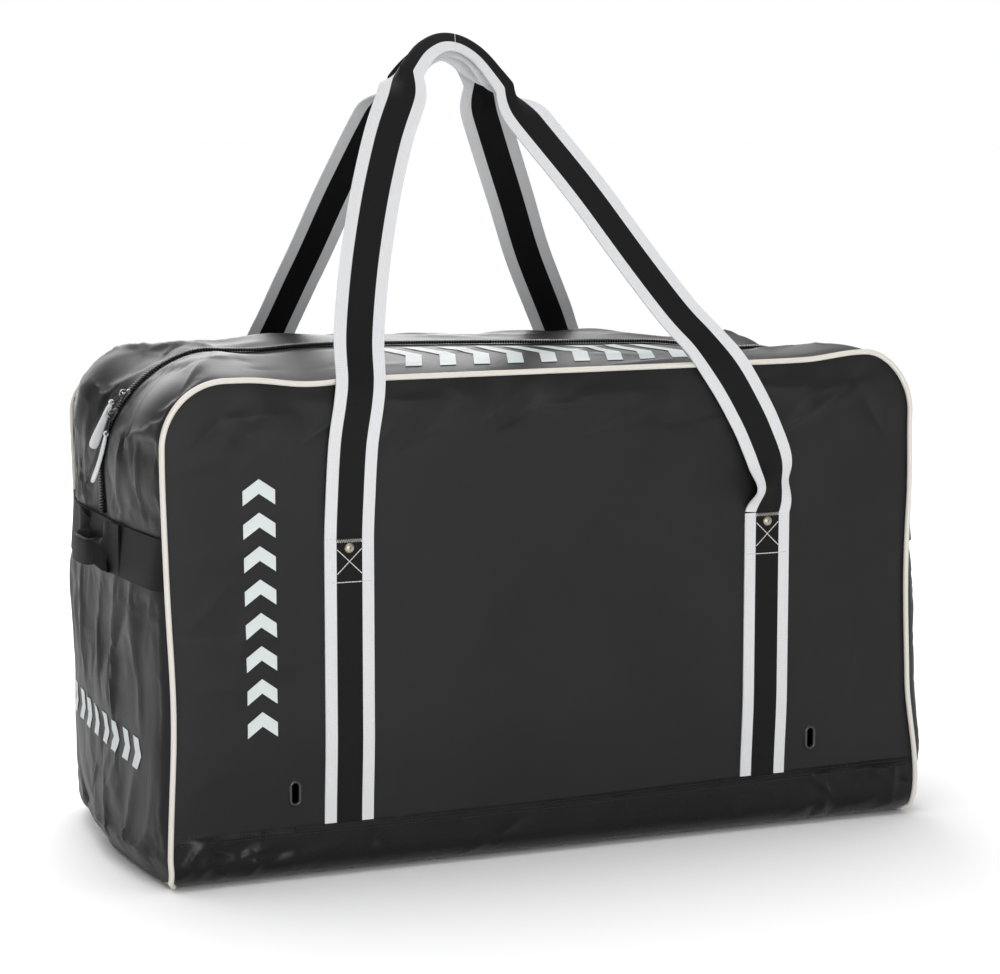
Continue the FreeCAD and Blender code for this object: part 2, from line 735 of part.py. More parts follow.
def build():
    """Every named piece of the bag."""
    front = main_panel()
    corner = corner_panel()
    flap = top_flap()
    foot_cord = base_piping()
    parts = {
        "front_panel": front,
        "rear_panel": flip_y(front),
        "base_panel": base_panel(),
        "left_end_panel": end_panel(),
        "right_end_panel": flip_x(end_panel()),
        "corner_panel_left_front": corner,
        "corner_panel_left_rear": flip_y(corner),
        "corner_panel_right_front": flip_x(corner),
        "corner_panel_right_rear": flip_x(flip_y(corner)),
        "top_flap_front": flap,
        "top_flap_rear": flip_y(flap),
        "front_piping": piping(),
        "rear_piping": flip_y(piping()),
        "base_piping_left": foot_cord,
        "base_piping_right": flip_x(foot_cord),
        "front_handle": handle(FRONT_PLAN),
        "rear_handle": flip_y(handle(REAR_PLAN)),
        "front_grip_stitch": grip_stitch(),
        "rear_grip_stitch": flip_y(grip_stitch()),
    }
    pairs = {
        "strap_stitching": stitching(),
        "rivets": rivets(),
        "rivet_washers": washers(),
        "eyelets": eyelets(),
        "zip_teeth": zip_teeth(False),
        "zip_tape": zip_tape(False),
    }
    for name, shape in pairs.items():
        parts["front_" + name] = shape
        parts["rear_" + name] = flip_y(shape)
    for side, x in (("left", -STRAP_X), ("right", STRAP_X)):
        parts["front_strap_" + side] = strap(x)
        parts["rear_strap_" + side] = flip_y(strap(x))
    ends = {
        "end_band": end_band(),
        "grab_handle_feet": grab_feet(),
        "grab_handle": grab_loop(),
        "corner_zip_teeth": both_rows(zip_teeth(True)),
        "corner_zip_tape": both_rows(zip_tape(True)),
    }
    for name, shape in ends.items():
        parts["left_" + name] = shape
        parts["right_" + name] = flip_x(shape)
    pulls = {
        "upper": (SLIDER_DEG[0], UPPER_PULL, True),
        "lower": (SLIDER_DEG[1], LOWER_PULL, False),
    }
    for name, (degrees, places, flat_front) in pulls.items():
        eye, tip = [vec(*place) for place in places]
        parts[name + "_slider"] = slider(degrees)
        parts[name + "_slider_bridge"] = slider_bridge(degrees)
        parts[name + "_pull_link"] = pull_link(on_arc(PLATE_TOP + HOLE_H, degrees), eye)
        parts[name + "_pull_tab"] = pull_tab(eye, tip, flat_front)
    return parts


def both_rows(shape):
    """A front row and its mirror image at the rear, in one node."""
    return Part.makeCompound([shape, flip_y(shape)])


os.makedirs("parts", exist_ok=True)
for node, solid in build().items():
    solid.exportStep("parts/" + node + ".step")
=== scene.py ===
"""Looks of a soft hockey carry bag, built over its CAD frame. Metres, same frame as the CAD."""
import math

import bmesh
import bpy
import numpy as np
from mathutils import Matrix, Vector
from mathutils.bvhtree import BVHTree


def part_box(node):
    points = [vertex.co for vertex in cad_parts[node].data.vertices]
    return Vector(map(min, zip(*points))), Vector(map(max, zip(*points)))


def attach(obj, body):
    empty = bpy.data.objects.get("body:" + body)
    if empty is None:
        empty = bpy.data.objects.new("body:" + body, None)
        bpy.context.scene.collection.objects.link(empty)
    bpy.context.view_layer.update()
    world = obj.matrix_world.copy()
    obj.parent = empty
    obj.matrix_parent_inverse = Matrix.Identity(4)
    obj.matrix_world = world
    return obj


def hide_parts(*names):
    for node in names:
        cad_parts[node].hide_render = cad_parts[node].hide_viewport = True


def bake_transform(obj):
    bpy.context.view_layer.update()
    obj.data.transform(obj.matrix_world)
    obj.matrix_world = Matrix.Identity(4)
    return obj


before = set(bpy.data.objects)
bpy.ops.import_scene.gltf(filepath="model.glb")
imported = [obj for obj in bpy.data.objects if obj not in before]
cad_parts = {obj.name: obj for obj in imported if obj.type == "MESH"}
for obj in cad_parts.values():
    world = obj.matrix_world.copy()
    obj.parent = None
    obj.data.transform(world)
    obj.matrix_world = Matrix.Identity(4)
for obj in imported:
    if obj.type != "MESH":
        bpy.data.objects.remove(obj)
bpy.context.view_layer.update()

# ------ sizes read from the frame, then those that the frame does not state
panel_low, panel_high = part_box("front_panel")
pipe_low, pipe_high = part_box("front_piping")
flap_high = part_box("top_flap_front")[1]
end_low, end_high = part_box("left_end_panel")
band_low, band_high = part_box("left_end_band")
strap_low, strap_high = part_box("front_strap_left")
base_low, base_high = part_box("base_panel")

PIPE_R = (pipe_high.y - pipe_low.y) / 2
PIPE_Y = -(pipe_high.y + pipe_low.y) / 2
HALF_D = -panel_low.y
HALF_L = panel_high.x + 0.0035
TOP = panel_high.z + 0.0035
CROWN = flap_high.z - TOP
END_BULGE = -end_low.x - HALF_L
BAND_Z = (band_low.z + band_high.z) / 2
BAND_SEAM = base_high.z
SPLIT_Z = end_high.z
WEB = strap_high.x - strap_low.x
STRAP_X = -(strap_high.x + strap_low.x) / 2
STITCH_Z = strap_high.z

PIPE_OUT = 0.0015
CORNER_R = 0.06
CROWN_R = 0.12
ROLL_R = 0.025
SEAM_Z = 0.005
# heights on the straps: closing line of the stitched box, rivet
BOX_Z = 0.289
RIVET_Z = 0.322
# a sewn strap's middle and face over the panel, then the thickness of webbing
STRAP_MID = 0.0011
STRAP_FACE = 0.0022
SEWN_T = 0.0018
WEB_T = 0.0016
GRAB_T = 0.0015
EYELET_X = 0.28
EYELET_Z = 0.086
SLOT_R = 0.0032
SLOT_HALF = 0.00975

# names of the long panels and the ends by the sign of their side
LONG = {-1: "front", 1: "rear"}
END = {-1: "left", 1: "right"}

# ------ small numeric helpers


def smooth(value, low, high):
    """Smoothstep from 0 at low to 1 at high."""
    t = np.clip((np.asarray(value, float) - low) / (high - low), 0, 1)
    return t * t * (3 - 2 * t)


def hump(value, middle, width):
    """Bell of height 1."""
    return np.exp(-(((np.asarray(value, float) - middle) / width) ** 2))


def spline(points, count):
    """Evenly spaced points along a smooth line through the given ones."""
    p = np.array(points, float)
    fine = []
    for i in range(len(p) - 1):
        a = p[max(i - 1, 0)]
        d = p[min(i + 2, len(p) - 1)]
        t = np.linspace(0, 1, 24, endpoint=False)[:, None]
        fine.append(
            0.5 * (
                2 * p[i] + (p[i + 1] - a) * t
                + (2 * a - 5 * p[i] + 4 * p[i + 1] - d) * t ** 2
                + (3 * p[i] - a - 3 * p[i + 1] + d) * t ** 3
            )
        )
    fine = np.vstack(fine + [p[-1:]])
    run = run_of(fine)
    return at_run(np.linspace(0, run[-1], count), run, fine)


def unit(v):
    """Rows scaled to length 1."""
    v = np.asarray(v, float)
    return v / np.maximum(np.linalg.norm(v, axis=-1, keepdims=True), 1e-9)


def tangents(path):
    """Direction of travel at each point of a path."""
    return unit(np.gradient(path, axis=0))


def run_of(path):
    """Distance travelled at each point of a path."""
    return np.concatenate([[0], np.cumsum(np.linalg.norm(np.diff(path, axis=0), axis=1))])


def at_run(s, run, values):
    """Rows of values read off at the distances s."""
    return stacked(*[np.interp(s, run, column) for column in values.T])


def stacked(*parts):
    """Coordinates, each an array or a number, as rows."""
    return np.stack(np.broadcast_arrays(*parts), axis=-1)


def circle(count):
    """Evenly spaced angles round a full turn."""
    return np.linspace(0, 2 * math.pi, count, endpoint=False)


# ------ the bag's soft outer form


def settle(p):
    """The whole body's slump: ends pull in at the rear and at half height, top edges dip."""
    p = np.array(p, float)
    x, y, z = p[..., 0], p[..., 1], p[..., 2]
    right, left = smooth(x, 0.28, 0.4), smooth(-x, 0.28, 0.4)
    rear = smooth(y, 0.09, 0.175)
    near_top = smooth(z, 0.4, 0.48)
    p[..., 0] = x - right * (0.0112 * smooth(z, 0.03, 0.14) + 0.005 * hump(z, 0.26, 0.1))
    p[..., 0] += left * (0.0065 * hump(z, 0.17, 0.11) - 0.0012 * hump(z, 0.41, 0.05))
    p[..., 0] += left * rear * 0.012 - right * rear * 0.006 - right * 0.003 * smooth(z, 0.33, 0.42)
    dip = -0.0032 * (1 - smooth(np.abs(x), 0.27, 0.33)) - 0.003 * hump(x, -0.258, 0.035)
    rise = 0.003 * hump(x, 0.335, 0.05)
    p[..., 2] = z + near_top * (dip + rise) - near_top * smooth(y, 0.13, 0.18) * (0.0065 + 0.004 * left)
    hitched = smooth(z, 0.01, 0.045) * (1 - smooth(z, 0.09, 0.24))
    p[..., 2] += 0.0072 * smooth(x, -0.1, 0.4) * hitched
    inner = np.clip(swell(y), 0, 1)
    p[..., 2] -= near_top * inner * 0.01 * smooth(x, -0.2, 0.3)
    p[..., 2] -= near_top * smooth(x, 0.17, 0.31) * smooth(y, -0.16, -0.04) * 0.011
    rear_left = 0.006 * hump(x, -0.21, 0.07) - 0.007 * hump(x, -0.345, 0.028)
    p[..., 2] += near_top * smooth(y, -0.02, 0.1) * rear_left
    return p


def roll(y):
    """Height of the rolled bottom edge at a depth."""
    past = np.clip(np.abs(y) - (HALF_D - ROLL_R), 0, ROLL_R)
    return ROLL_R - np.sqrt(np.clip(ROLL_R ** 2 - past ** 2, 0, None))


def tuck(y, z):
    """How far an end is drawn in at its foot, more towards the rear."""
    return (1 - smooth(z, SEAM_Z, 0.035)) * (0.0025 + 0.0105 * smooth(y, -0.02, 0.1))


def swell(y):
    """Fullness across the bag's depth: 0 at the piping, 1 along the zip."""
    return 1 - (y / HALF_D) ** 2


def corner_radius(y):
    """Radius of the top corners at a depth: tight at the piping, wide along the zip."""
    sharpness = np.where(y < 0, 3.0, 2.4)
    return CORNER_R + (CROWN_R - CORNER_R) * np.clip(swell(y), 0, 1) ** sharpness


def gusset(a, y):
    """Point on the strip that runs up the left end, over the top and down the right end.

    a runs 0-1 up the left end, 1-2 round the corner, 2-3 along the top, 3-4 and 4-5 likewise.
    """
    a, y = np.broadcast_arrays(np.asarray(a, float), np.asarray(y, float))
    half = HALF_L + END_BULGE * swell(y)
    top = TOP + CROWN * swell(y)
    r = corner_radius(y)
    foot = SEAM_Z + roll(y)
    mirrored = np.where(a > 2.5, 5 - a, a)
    side = np.where(a > 2.5, 1.0, -1.0)
    up = np.clip(mirrored, 0, 1)
    turn = np.clip(mirrored - 1, 0, 1) * math.pi / 2
    along = np.clip(mirrored - 2, 0, 0.5) * 2
    x = half - r * (1 - np.cos(turn)) - (half - r) * along
    z = foot + (top - r - foot) * up + r * np.sin(turn)
    x = x - tuck(y, z)
    return stacked(side * x, y, z)


def on_side(a, side):
    """Place along the gusset for the left (-1) or right (1) half of the bag."""
    return a if side < 0 else 5 - a


def gusset_normal(a, y):
    """Outward direction of the gusset strip."""
    e = 1e-3
    da = gusset(a + e, y) - gusset(a - e, y)
    dy = gusset(a, y + e) - gusset(a, y - e)
    return unit(np.cross(dy, da)) * -1


def pillow(distance, width):
    """Quick rise away from a seam, from 0 to 1."""
    return 1 - np.exp(-np.clip(distance, 0, None) / width)


def front_swell(x, z):
    """How far a long panel stands out of its plane: full, with a quick rise at its seams."""
    x, z = np.asarray(x, float), np.asarray(z, float)
    r = CORNER_R
    over = np.hypot(np.clip(np.abs(x) - (HALF_L - r), 0, None), np.clip(z - (TOP - r), 0, None))
    to_edge = np.minimum(r - over, np.minimum(HALF_L - np.abs(x), TOP - z))
    low = smooth(z, BAND_SEAM - 0.01, BAND_SEAM + 0.09)
    slack = hump(x, -0.14, 0.1) * hump(z, 0.3, 0.14) - 0.7 * hump(x, 0.05, 0.09) * hump(z, 0.2, 0.1)
    high = smooth(z, 0.36, 0.46)
    full = 0.0048 + 0.0022 * high + 0.0008 * slack
    return pillow(to_edge, 0.016 + 0.014 * high) * (full * low + 0.0004)


def front(x, z, out=0.0):
    """Point on the front panel, moved out of the surface by out."""
    return stacked(x, -HALF_D - front_swell(x, z) - out, z)


def panel_point(side_y, x, z, out=0.0):
    """Point on the front (-1) or rear (1) panel, slumped with the bag."""
    p = front(x, z, out)
    p[..., 1] *= -side_y
    return settle(p)


# ------ mesh helpers


def link(obj):
    """Put an object in the scene."""
    bpy.context.scene.collection.objects.link(obj)
    return obj


def add_mesh(name, verts, faces, material, uvs=None):
    """Object from numpy vertices and faces, smooth shaded."""
    mesh = bpy.data.meshes.new(name)
    mesh.from_pydata([tuple(v) for v in verts], [], [tuple(f) for f in faces])
    layer = mesh.uv_layers.new(name="UVMap", do_init=False)
    if uvs is not None:
        loop_vert = np.zeros(len(mesh.loops), np.int32)
        mesh.loops.foreach_get("vertex_index", loop_vert)
        layer.data.foreach_set("uv", uvs[loop_vert].astype(np.float32).ravel())
    mesh.materials.append(material)
    mesh.polygons.foreach_set("use_smooth", [True] * len(mesh.polygons))
    mesh.update()
    return link(bpy.data.objects.new(name, mesh))


def grid(name, points, material, keep=None, uv=None):
    """Sheet through a rows x columns x 3 array of points; keep says which cells stay."""
    rows, cols = points.shape[:2]
    index = np.arange(rows * cols).reshape(rows, cols)
    cells = np.stack([index[:-1, :-1], index[1:, :-1], index[1:, 1:], index[:-1, 1:]], axis=-1)
    if keep is not None:
        cells = cells[keep]
    cells = cells.reshape(-1, 4)
    used = np.unique(cells)
    place = np.full(rows * cols, -1)
    place[used] = np.arange(len(used))
    if uv is None:
        v, u = np.meshgrid(np.linspace(0, 1, cols), np.linspace(0, 1, rows))
        uv = stacked(u, v)
    flat = points.reshape(-1, 3)[used]
    return add_mesh(name, flat, place[cells], material, uv.reshape(-1, 2)[used])


def face_outwards(obj):
    """Turn a sheet's faces so that they look away from the middle of the bag."""
    centre = Vector((0, 0, 0.25))
    look = sum(p.normal.dot(p.center - centre) * p.area for p in obj.data.polygons)
    if look < 0:
        obj.data.flip_normals()


def bake(obj):
    """Apply every modifier."""
    bpy.context.view_layer.update()
    graph = bpy.context.evaluated_depsgraph_get()
    mesh = bpy.data.meshes.new_from_object(obj.evaluated_get(graph))
    obj.modifiers.clear()
    obj.data = mesh
    mesh.polygons.foreach_set("use_smooth", [True] * len(mesh.polygons))
    mesh.set_sharp_from_angle(angle=math.radians(50))
    return obj


def thicken(obj, depth, offset=-1.0):
    """Give a sheet its thickness, inwards from its outer face."""
    if offset:
        face_outwards(obj)
    solid = obj.modifiers.new("thickness", "SOLIDIFY")
    solid.thickness = depth
    solid.offset = offset
    return bake(obj)


def ring_faces(count, sides, closed=False, turned=False):
    """Faces of a run of rings, with caps unless it closes on itself; turned reverses the walls."""
    faces = []
    for i in range(count if closed else count - 1):
        for j in range(sides):
            k = (j + 1) % sides
            n = (i + 1) % count * sides
            quad = (i * sides + j, n + j, n + k, i * sides + k)
            faces.append((quad[0], *quad[:0:-1]) if turned else quad)
    if not closed:
        faces.append(tuple(range(sides)))
        faces.append(tuple(range(count * sides - 1, (count - 1) * sides - 1, -1)))
    return faces


def tube(name, path, radius, material, sides=12, closed=False):
    """Round cord along a path, with closed ends."""
    path = np.asarray(path, float)
    if closed:
        around = np.vstack([path[-1:], path, path[:1]])
        t = tangents(around)[1:-1]
    else:
        t = tangents(path)
    normal = np.zeros_like(path)
    normal[0] = unit(np.cross(t[0], [0.31, 0.52, 0.79]))
    for i in range(1, len(path)):
        normal[i] = unit(normal[i - 1] - t[i] * np.dot(normal[i - 1], t[i]))
    angle = circle(sides)[:, None]
    ring = np.cos(angle) * normal[:, None] + np.sin(angle) * np.cross(t, normal)[:, None]
    verts = (path[:, None] + radius * ring).reshape(-1, 3)
    count = len(path)
    uv = stacked(np.linspace(0, 1, count)[:, None], np.linspace(0, 1, sides)).reshape(-1, 2)
    return add_mesh(name, verts, ring_faces(count, sides, closed), material, uv)


def join(name, objs):
    """Several meshes as one object."""
    mesh = bmesh.new()
    materials = []
    for o in objs:
        part = o.data
        slot = len(materials)
        if part.materials[0] in materials:
            slot = materials.index(part.materials[0])
        else:
            materials.append(part.materials[0])
        for polygon in part.polygons:
            polygon.material_index = slot
        mesh.from_mesh(part)
    out = bpy.data.meshes.new(name)
    mesh.to_mesh(out)
    mesh.free()
    for m in materials:
        out.materials.append(m)
    for o in objs:
        bpy.data.objects.remove(o)
    return link(bpy.data.objects.new(name, out))


def frame_matrix(origin, x, y, z):
    """4 x 4 matrix from an origin and three axes."""
    m = np.eye(4)
    m[:3, 0], m[:3, 1], m[:3, 2], m[:3, 3] = x, y, z, origin
    return m


# ------ materials


def feed(tree, target, **inputs):
    """Set a node's inputs by name, spaces as underscores; a socket is linked, a value is stored."""
    for key, value in inputs.items():
        socket = target.inputs[key.replace("_", " ")]
        if hasattr(value, "links"):
            tree.links.new(value, socket)
        else:
            socket.default_value = value


def node(tree, kind, **inputs):
    """Add a node and feed its inputs."""
    made = tree.nodes.new("ShaderNode" + kind)
    feed(tree, made, **inputs)
    return made


def nodes_of(name, **inputs):
    """A new node material, its principled shader and its node tree."""
    material = bpy.data.materials.new(name)
    material.use_nodes = True
    tree = material.node_tree
    shader = tree.nodes["Principled BSDF"]
    feed(tree, shader, **inputs)
    return material, shader, tree


def mix_colours(tree, factor, first, second, blend="MIX"):
    """Mix of two colours or colour sockets."""
    mix = tree.nodes.new("ShaderNodeMix")
    mix.data_type = "RGBA"
    mix.blend_type = blend
    for i, value in ((0, factor), (6, first), (7, second)):
        if hasattr(value, "links"):
            tree.links.new(value, mix.inputs[i])
        else:
            mix.inputs[i].default_value = value if i == 0 else (*value, 1.0)
    return mix.outputs[2]


def ramp(tree, factor, *stops):
    """Grey ramp through (position, value) stops."""
    made = node(tree, "ValToRGB", Fac=factor)
    elements = made.color_ramp.elements
    for e, (position, value) in zip(elements, (stops[0], stops[-1])):
        e.position, e.color = position, (value, value, value, 1)
    for position, value in stops[1:-1]:
        elements.new(position).color = (value, value, value, 1)
    return made.outputs["Color"]


def space_of(tree, kind="Object", scale=(1, 1, 1)):
    """Object or UV coordinates, scaled."""
    source = tree.nodes.new("ShaderNodeTexCoord").outputs[kind]
    return node(tree, "Mapping", Vector=source, Scale=scale).outputs["Vector"]


def wave(tree, space, direction, scale, distortion=0.0, **inputs):
    """Bands across one direction."""
    made = node(tree, "TexWave", Vector=space, Scale=scale, Distortion=distortion, **inputs)
    made.bands_direction = direction
    return made.outputs["Fac"]


def combine(tree, operation, first, second):
    """Sum, product and so on of two sockets."""
    made = tree.nodes.new("ShaderNodeMath")
    made.operation = operation
    tree.links.new(first, made.inputs[0])
    tree.links.new(second, made.inputs[1])
    return made.outputs[0]


def bump(tree, shader, height, strength, distance):
    """Bump from a height socket."""
    made = node(tree, "Bump", Strength=strength, Distance=distance, Height=height)
    feed(tree, shader, Normal=made.outputs["Normal"])


def noise(tree, space, scale, detail=3.0):
    """Noise value."""
    return node(tree, "TexNoise", Vector=space, Scale=scale, Detail=detail).outputs["Fac"]


def shell_fabric(name, dark, light, roughness):
    """Tightly woven polyester with a faint sheen and slight cloudiness."""
    material, shader, tree = nodes_of(
        name, Roughness=roughness, Specular_IOR_Level=0.21, Sheen_Weight=0.01, Sheen_Roughness=0.45
    )
    space = space_of(tree)
    cloud = ramp(tree, noise(tree, space, 9.0), (0.3, 0.0), (0.7, 1.0))
    feed(tree, shader, Base_Color=mix_colours(tree, cloud, dark, light))
    threads = [wave(tree, space, direction, 480.0, 0.4, Detail=1.0) for direction in "XZ"]
    bump(tree, shader, combine(tree, "MAXIMUM", *threads), 0.25, 0.0003)
    return material


def coated_fabric():
    """Glossy tarpaulin with fine creases."""
    material, shader, tree = nodes_of("coated_base", Specular_IOR_Level=0.21, Coat_Roughness=0.22)
    space = space_of(tree)
    cloud = ramp(tree, noise(tree, space, 22.0, 6.0), (0.35, 0.0), (0.65, 1.0))
    facing = node(tree, "LayerWeight", Blend=0.5).outputs["Facing"]
    feed(
        tree, shader,
        Base_Color=mix_colours(tree, cloud, (0.003, 0.003, 0.0033), (0.0052, 0.0052, 0.0055)),
        Coat_Weight=ramp(tree, facing, (0.25, 0.0), (0.65, 1.0)),
        Roughness=ramp(tree, noise(tree, space, 55.0, 5.0), (0.3, 0.24), (0.7, 0.38)),
    )
    bump(tree, shader, noise(tree, space, 38.0, 4.0), 0.24, 0.002)
    return material


def webbing(name, edge, middle, striped=True):
    """Woven strap: UV u runs along it in strap widths and v across it."""
    material, shader, tree = nodes_of(name, Roughness=0.6, Specular_IOR_Level=0.17)
    ribs = wave(tree, space_of(tree, "UV", (1, 9.0, 1)), "Y", 1.0)
    picks = wave(tree, space_of(tree, "UV", (9.0, 1, 1)), "X", 1.0)
    both = combine(tree, "MULTIPLY", ribs, picks)
    middle_share = ribs
    if striped:
        across = node(tree, "SeparateXYZ", Vector=space_of(tree, "UV")).outputs["Y"]
        middle_share = ramp(
            tree, across, (0.0, 0.0), (0.236, 0.0), (0.242, 1.0), (0.758, 1.0), (0.764, 0.0), (1.0, 0.0)
        )
    base = mix_colours(tree, middle_share, edge, middle)
    shade = ramp(tree, both, (0.0, 0.82), (1.0, 1.0))
    feed(tree, shader, Base_Color=mix_colours(tree, 1.0, base, shade, "MULTIPLY"))
    bump(tree, shader, both, 0.4, 0.0004)
    return material


def moulded(name, colour, roughness, metallic=0.0, mottle=0.0, coat=0.0):
    """Plastic, paint or metal with faint unevenness."""
    material, shader, tree = nodes_of(name, Metallic=metallic, Coat_Weight=coat)
    cloud = noise(tree, space_of(tree), 160.0, 4.0)
    dark = tuple(c * (1 - mottle) for c in colour)
    feed(
        tree, shader, Base_Color=mix_colours(tree, cloud, dark, colour),
        Roughness=ramp(tree, cloud, (0.2, max(roughness - 0.06, 0.02)), (0.8, roughness + 0.06)),
    )
    bump(tree, shader, cloud, 0.05, 0.0003)
    return material


def thread_material():
    """Twisted sewing thread."""
    material, shader, tree = nodes_of("thread", Roughness=0.7)
    twist = wave(tree, space_of(tree), "DIAGONAL", 900.0, 1.0)
    feed(tree, shader, Base_Color=mix_colours(tree, twist, (0.55, 0.54, 0.5), (0.8, 0.79, 0.75)))
    bump(tree, shader, twist, 0.3, 0.0002)
    return material


FABRIC = shell_fabric("shell_fabric", (0.0085, 0.0085, 0.0089), (0.011, 0.011, 0.0115), 0.43)
LINING = shell_fabric("zip_tape", (0.008, 0.008, 0.009), (0.012, 0.012, 0.013), 0.8)
COATED = coated_fabric()
STRIPED = webbing("striped_webbing", (0.72, 0.73, 0.75), (0.0035, 0.0035, 0.0036))
BLACK_WEB = webbing("black_webbing", (0.004, 0.004, 0.0045), (0.007, 0.007, 0.0075), False)
PIPING = moulded("piping", (0.66, 0.63, 0.57), 0.38, mottle=0.05)
THREAD = thread_material()
DARK_THREAD = moulded("dark_thread", (0.022, 0.022, 0.023), 0.7, mottle=0.3)
RIVET = moulded("rivet_metal", (0.42, 0.39, 0.31), 0.42, metallic=0.9, mottle=0.2)
EYELET = moulded("eyelet_paint", (0.01, 0.01, 0.011), 0.28, coat=0.35)
COIL = moulded("zip_coil", (0.014, 0.014, 0.015), 0.35)
SLIDER = moulded("slider_paint", (0.012, 0.012, 0.013), 0.25, coat=0.6)
BRIGHT = moulded("slider_metal", (0.3, 0.3, 0.31), 0.22, metallic=1.0, mottle=0.1)
PULL = moulded("pull_plastic", (0.68, 0.71, 0.71), 0.45, mottle=0.03)
PRINT = moulded("print_ink", (0.58, 0.63, 0.63), 0.5, mottle=0.04)
FLOOR = moulded("floor_paper", (0.985, 0.985, 0.985), 0.8)


def finish_piece(obj, body, slot, *nodes):
    """Ride on a body and stand for CAD nodes; slot is not used."""
    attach(obj, body)
    if nodes:
        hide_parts(*nodes)
    return obj


# ------ fabric shell

FABRIC_T = 0.0016


def creases(seed, count, low, high, tilt, length, width, height):
    """Random crease lines over a patch: place, direction, length, width, height and bend."""
    rng = np.random.default_rng(seed)
    made = []
    for _ in range(count):
        u, v = rng.uniform(low, high)
        made.append((
            u, v, tilt[0] + rng.normal() * tilt[1], length * rng.uniform(0.5, 1.3),
            width * rng.uniform(0.6, 1.4), height * rng.uniform(0.35, 1.0) * rng.choice([1, 1, 1, -1]),
            rng.normal() * 0.1,
        ))
    return made


def crease_height(u, v, made):
    """Height of a set of soft-topped ridges; tilt is measured from the v direction."""
    total = np.zeros(np.broadcast(u, v).shape)
    for cu, cv, tilt, length, width, height, bend in made:
        du, dv = u - cu, v - cv
        along = du * math.sin(tilt) + dv * math.cos(tilt)
        off = du * math.cos(tilt) - dv * math.sin(tilt) - bend * along * np.abs(along) / length
        size = width * (1 + 0.9 * np.clip(along / length, -1, 1))
        taper = np.clip(1 - (along / length) ** 2, 0, 1) ** 1.5
        total += height * taper * np.exp(-np.abs(off / size) ** 1.35)
    return total


# creases: place (two values), tilt, length, width, height and bend; the ones given one by one are written
# out
END_CREASES = (
    [(-0.118, 0.235, 0.05, 0.13, 0.009, 0.0042, 0.1), (-0.058, 0.22, -0.22, 0.12, 0.008, 0.004, 0.2),
     (-0.006, 0.215, -0.1, 0.1, 0.01, 0.0028, -0.1), (0.052, 0.22, 0.05, 0.11, 0.01, 0.0036, 0.1),
     (0.118, 0.19, -0.04, 0.15, 0.012, 0.004, 0.1), (-0.105, 0.075, -0.25, 0.075, 0.01, 0.004, -0.2),
     (-0.03, 0.065, 0.18, 0.06, 0.01, 0.0024, 0.2), (0.085, 0.05, 0.5, 0.07, 0.012, -0.003, 0.0),
     (-0.128, 0.395, 0.1, 0.06, 0.007, 0.0034, 0.1), (-0.072, 0.385, -0.1, 0.07, 0.007, 0.003, 0.0),
     (0.062, 0.385, 0.12, 0.075, 0.009, 0.0034, 0.1), (0.115, 0.39, -0.12, 0.08, 0.01, 0.0034, 0.0)]
    + creases(11, 26, (-0.16, 0.03), (0.16, 0.29), (0.0, 0.28), 0.065, 0.0065, 0.0014)
    + creases(12, 12, (-0.15, 0.35), (0.15, 0.44), (0.1, 0.45), 0.05, 0.006, 0.0016)
)
CORNER_CREASES = (
    [(-0.352, -0.125, 0.5, 0.06, 0.008, 0.003, 0.2), (-0.345, 0.105, -0.6, 0.07, 0.01, 0.0045, 0.2),
     (-0.318, 0.06, -0.9, 0.06, 0.009, 0.003, 0.1), (-0.3, -0.07, 0.9, 0.07, 0.01, 0.0026, 0.1)]
    + creases(21, 14, (-0.39, -0.15), (-0.27, 0.15), (0.4, 0.7), 0.045, 0.006, 0.0017)
)
TOP_CREASES = (
    creases(31, 16, (-0.36, -0.165), (0.36, -0.03), (1.35, 0.35), 0.06, 0.009, 0.0018)
    + creases(32, 20, (-0.36, 0.03), (0.36, 0.165), (1.35, 0.35), 0.06, 0.009, 0.0024)
    + [(-0.03, 0.15, 1.57, 0.075, 0.007, 0.007, 0.0), (-0.105, 0.135, 1.5, 0.045, 0.008, 0.005, 0.1),
       (0.085, 0.14, 1.6, 0.06, 0.009, 0.0042, 0.0), (0.165, 0.125, 1.62, 0.05, 0.009, 0.0036, 0.0)]
)
FRONT_CREASES = (
    creases(41, 26, (-0.36, 0.425), (0.36, 0.47), (1.35, 0.45), 0.045, 0.009, 0.004)
    + creases(42, 14, (-0.38, 0.1), (-0.3, 0.42), (1.2, 0.5), 0.04, 0.007, 0.0012)
    + creases(43, 14, (-0.28, 0.1), (0.38, 0.42), (0.8, 0.8), 0.08, 0.018, 0.0012)
    + [(-0.352, 0.448, 0.75, 0.045, 0.01, -0.003, 0.1), (0.345, 0.44, -0.75, 0.05, 0.01, -0.003, 0.1),
       (0.235, 0.458, 1.45, 0.045, 0.009, 0.0034, 0.1), (0.06, 0.462, 1.5, 0.06, 0.008, 0.003, 0.1),
       (-0.318, 0.452, 1.42, 0.05, 0.01, 0.004, 0.2), (-0.15, 0.463, 1.55, 0.05, 0.007, 0.0034, 0.1),
       (0.315, 0.455, 1.62, 0.045, 0.009, 0.0038, -0.1)]
)


MARK_Z = 0.13
END_PUFF = {-1: 0.0135, 1: 0.021}
BAND_HOLD = 0.9


def end_puff(side, y, z):
    """Outward swell of an end below its band, steep beside the piping."""
    lift_off = 0.036 + 0.04 * smooth(y, -0.02, 0.08) + 0.04 * smooth(-y, 0.12, 0.17)
    level = smooth(z, -0.004, lift_off) * (1 - BAND_HOLD * smooth(z, 0.22, 0.37))
    return (END_PUFF[side] * level + 0.001) * pillow(HALF_D - np.abs(y), 0.008)


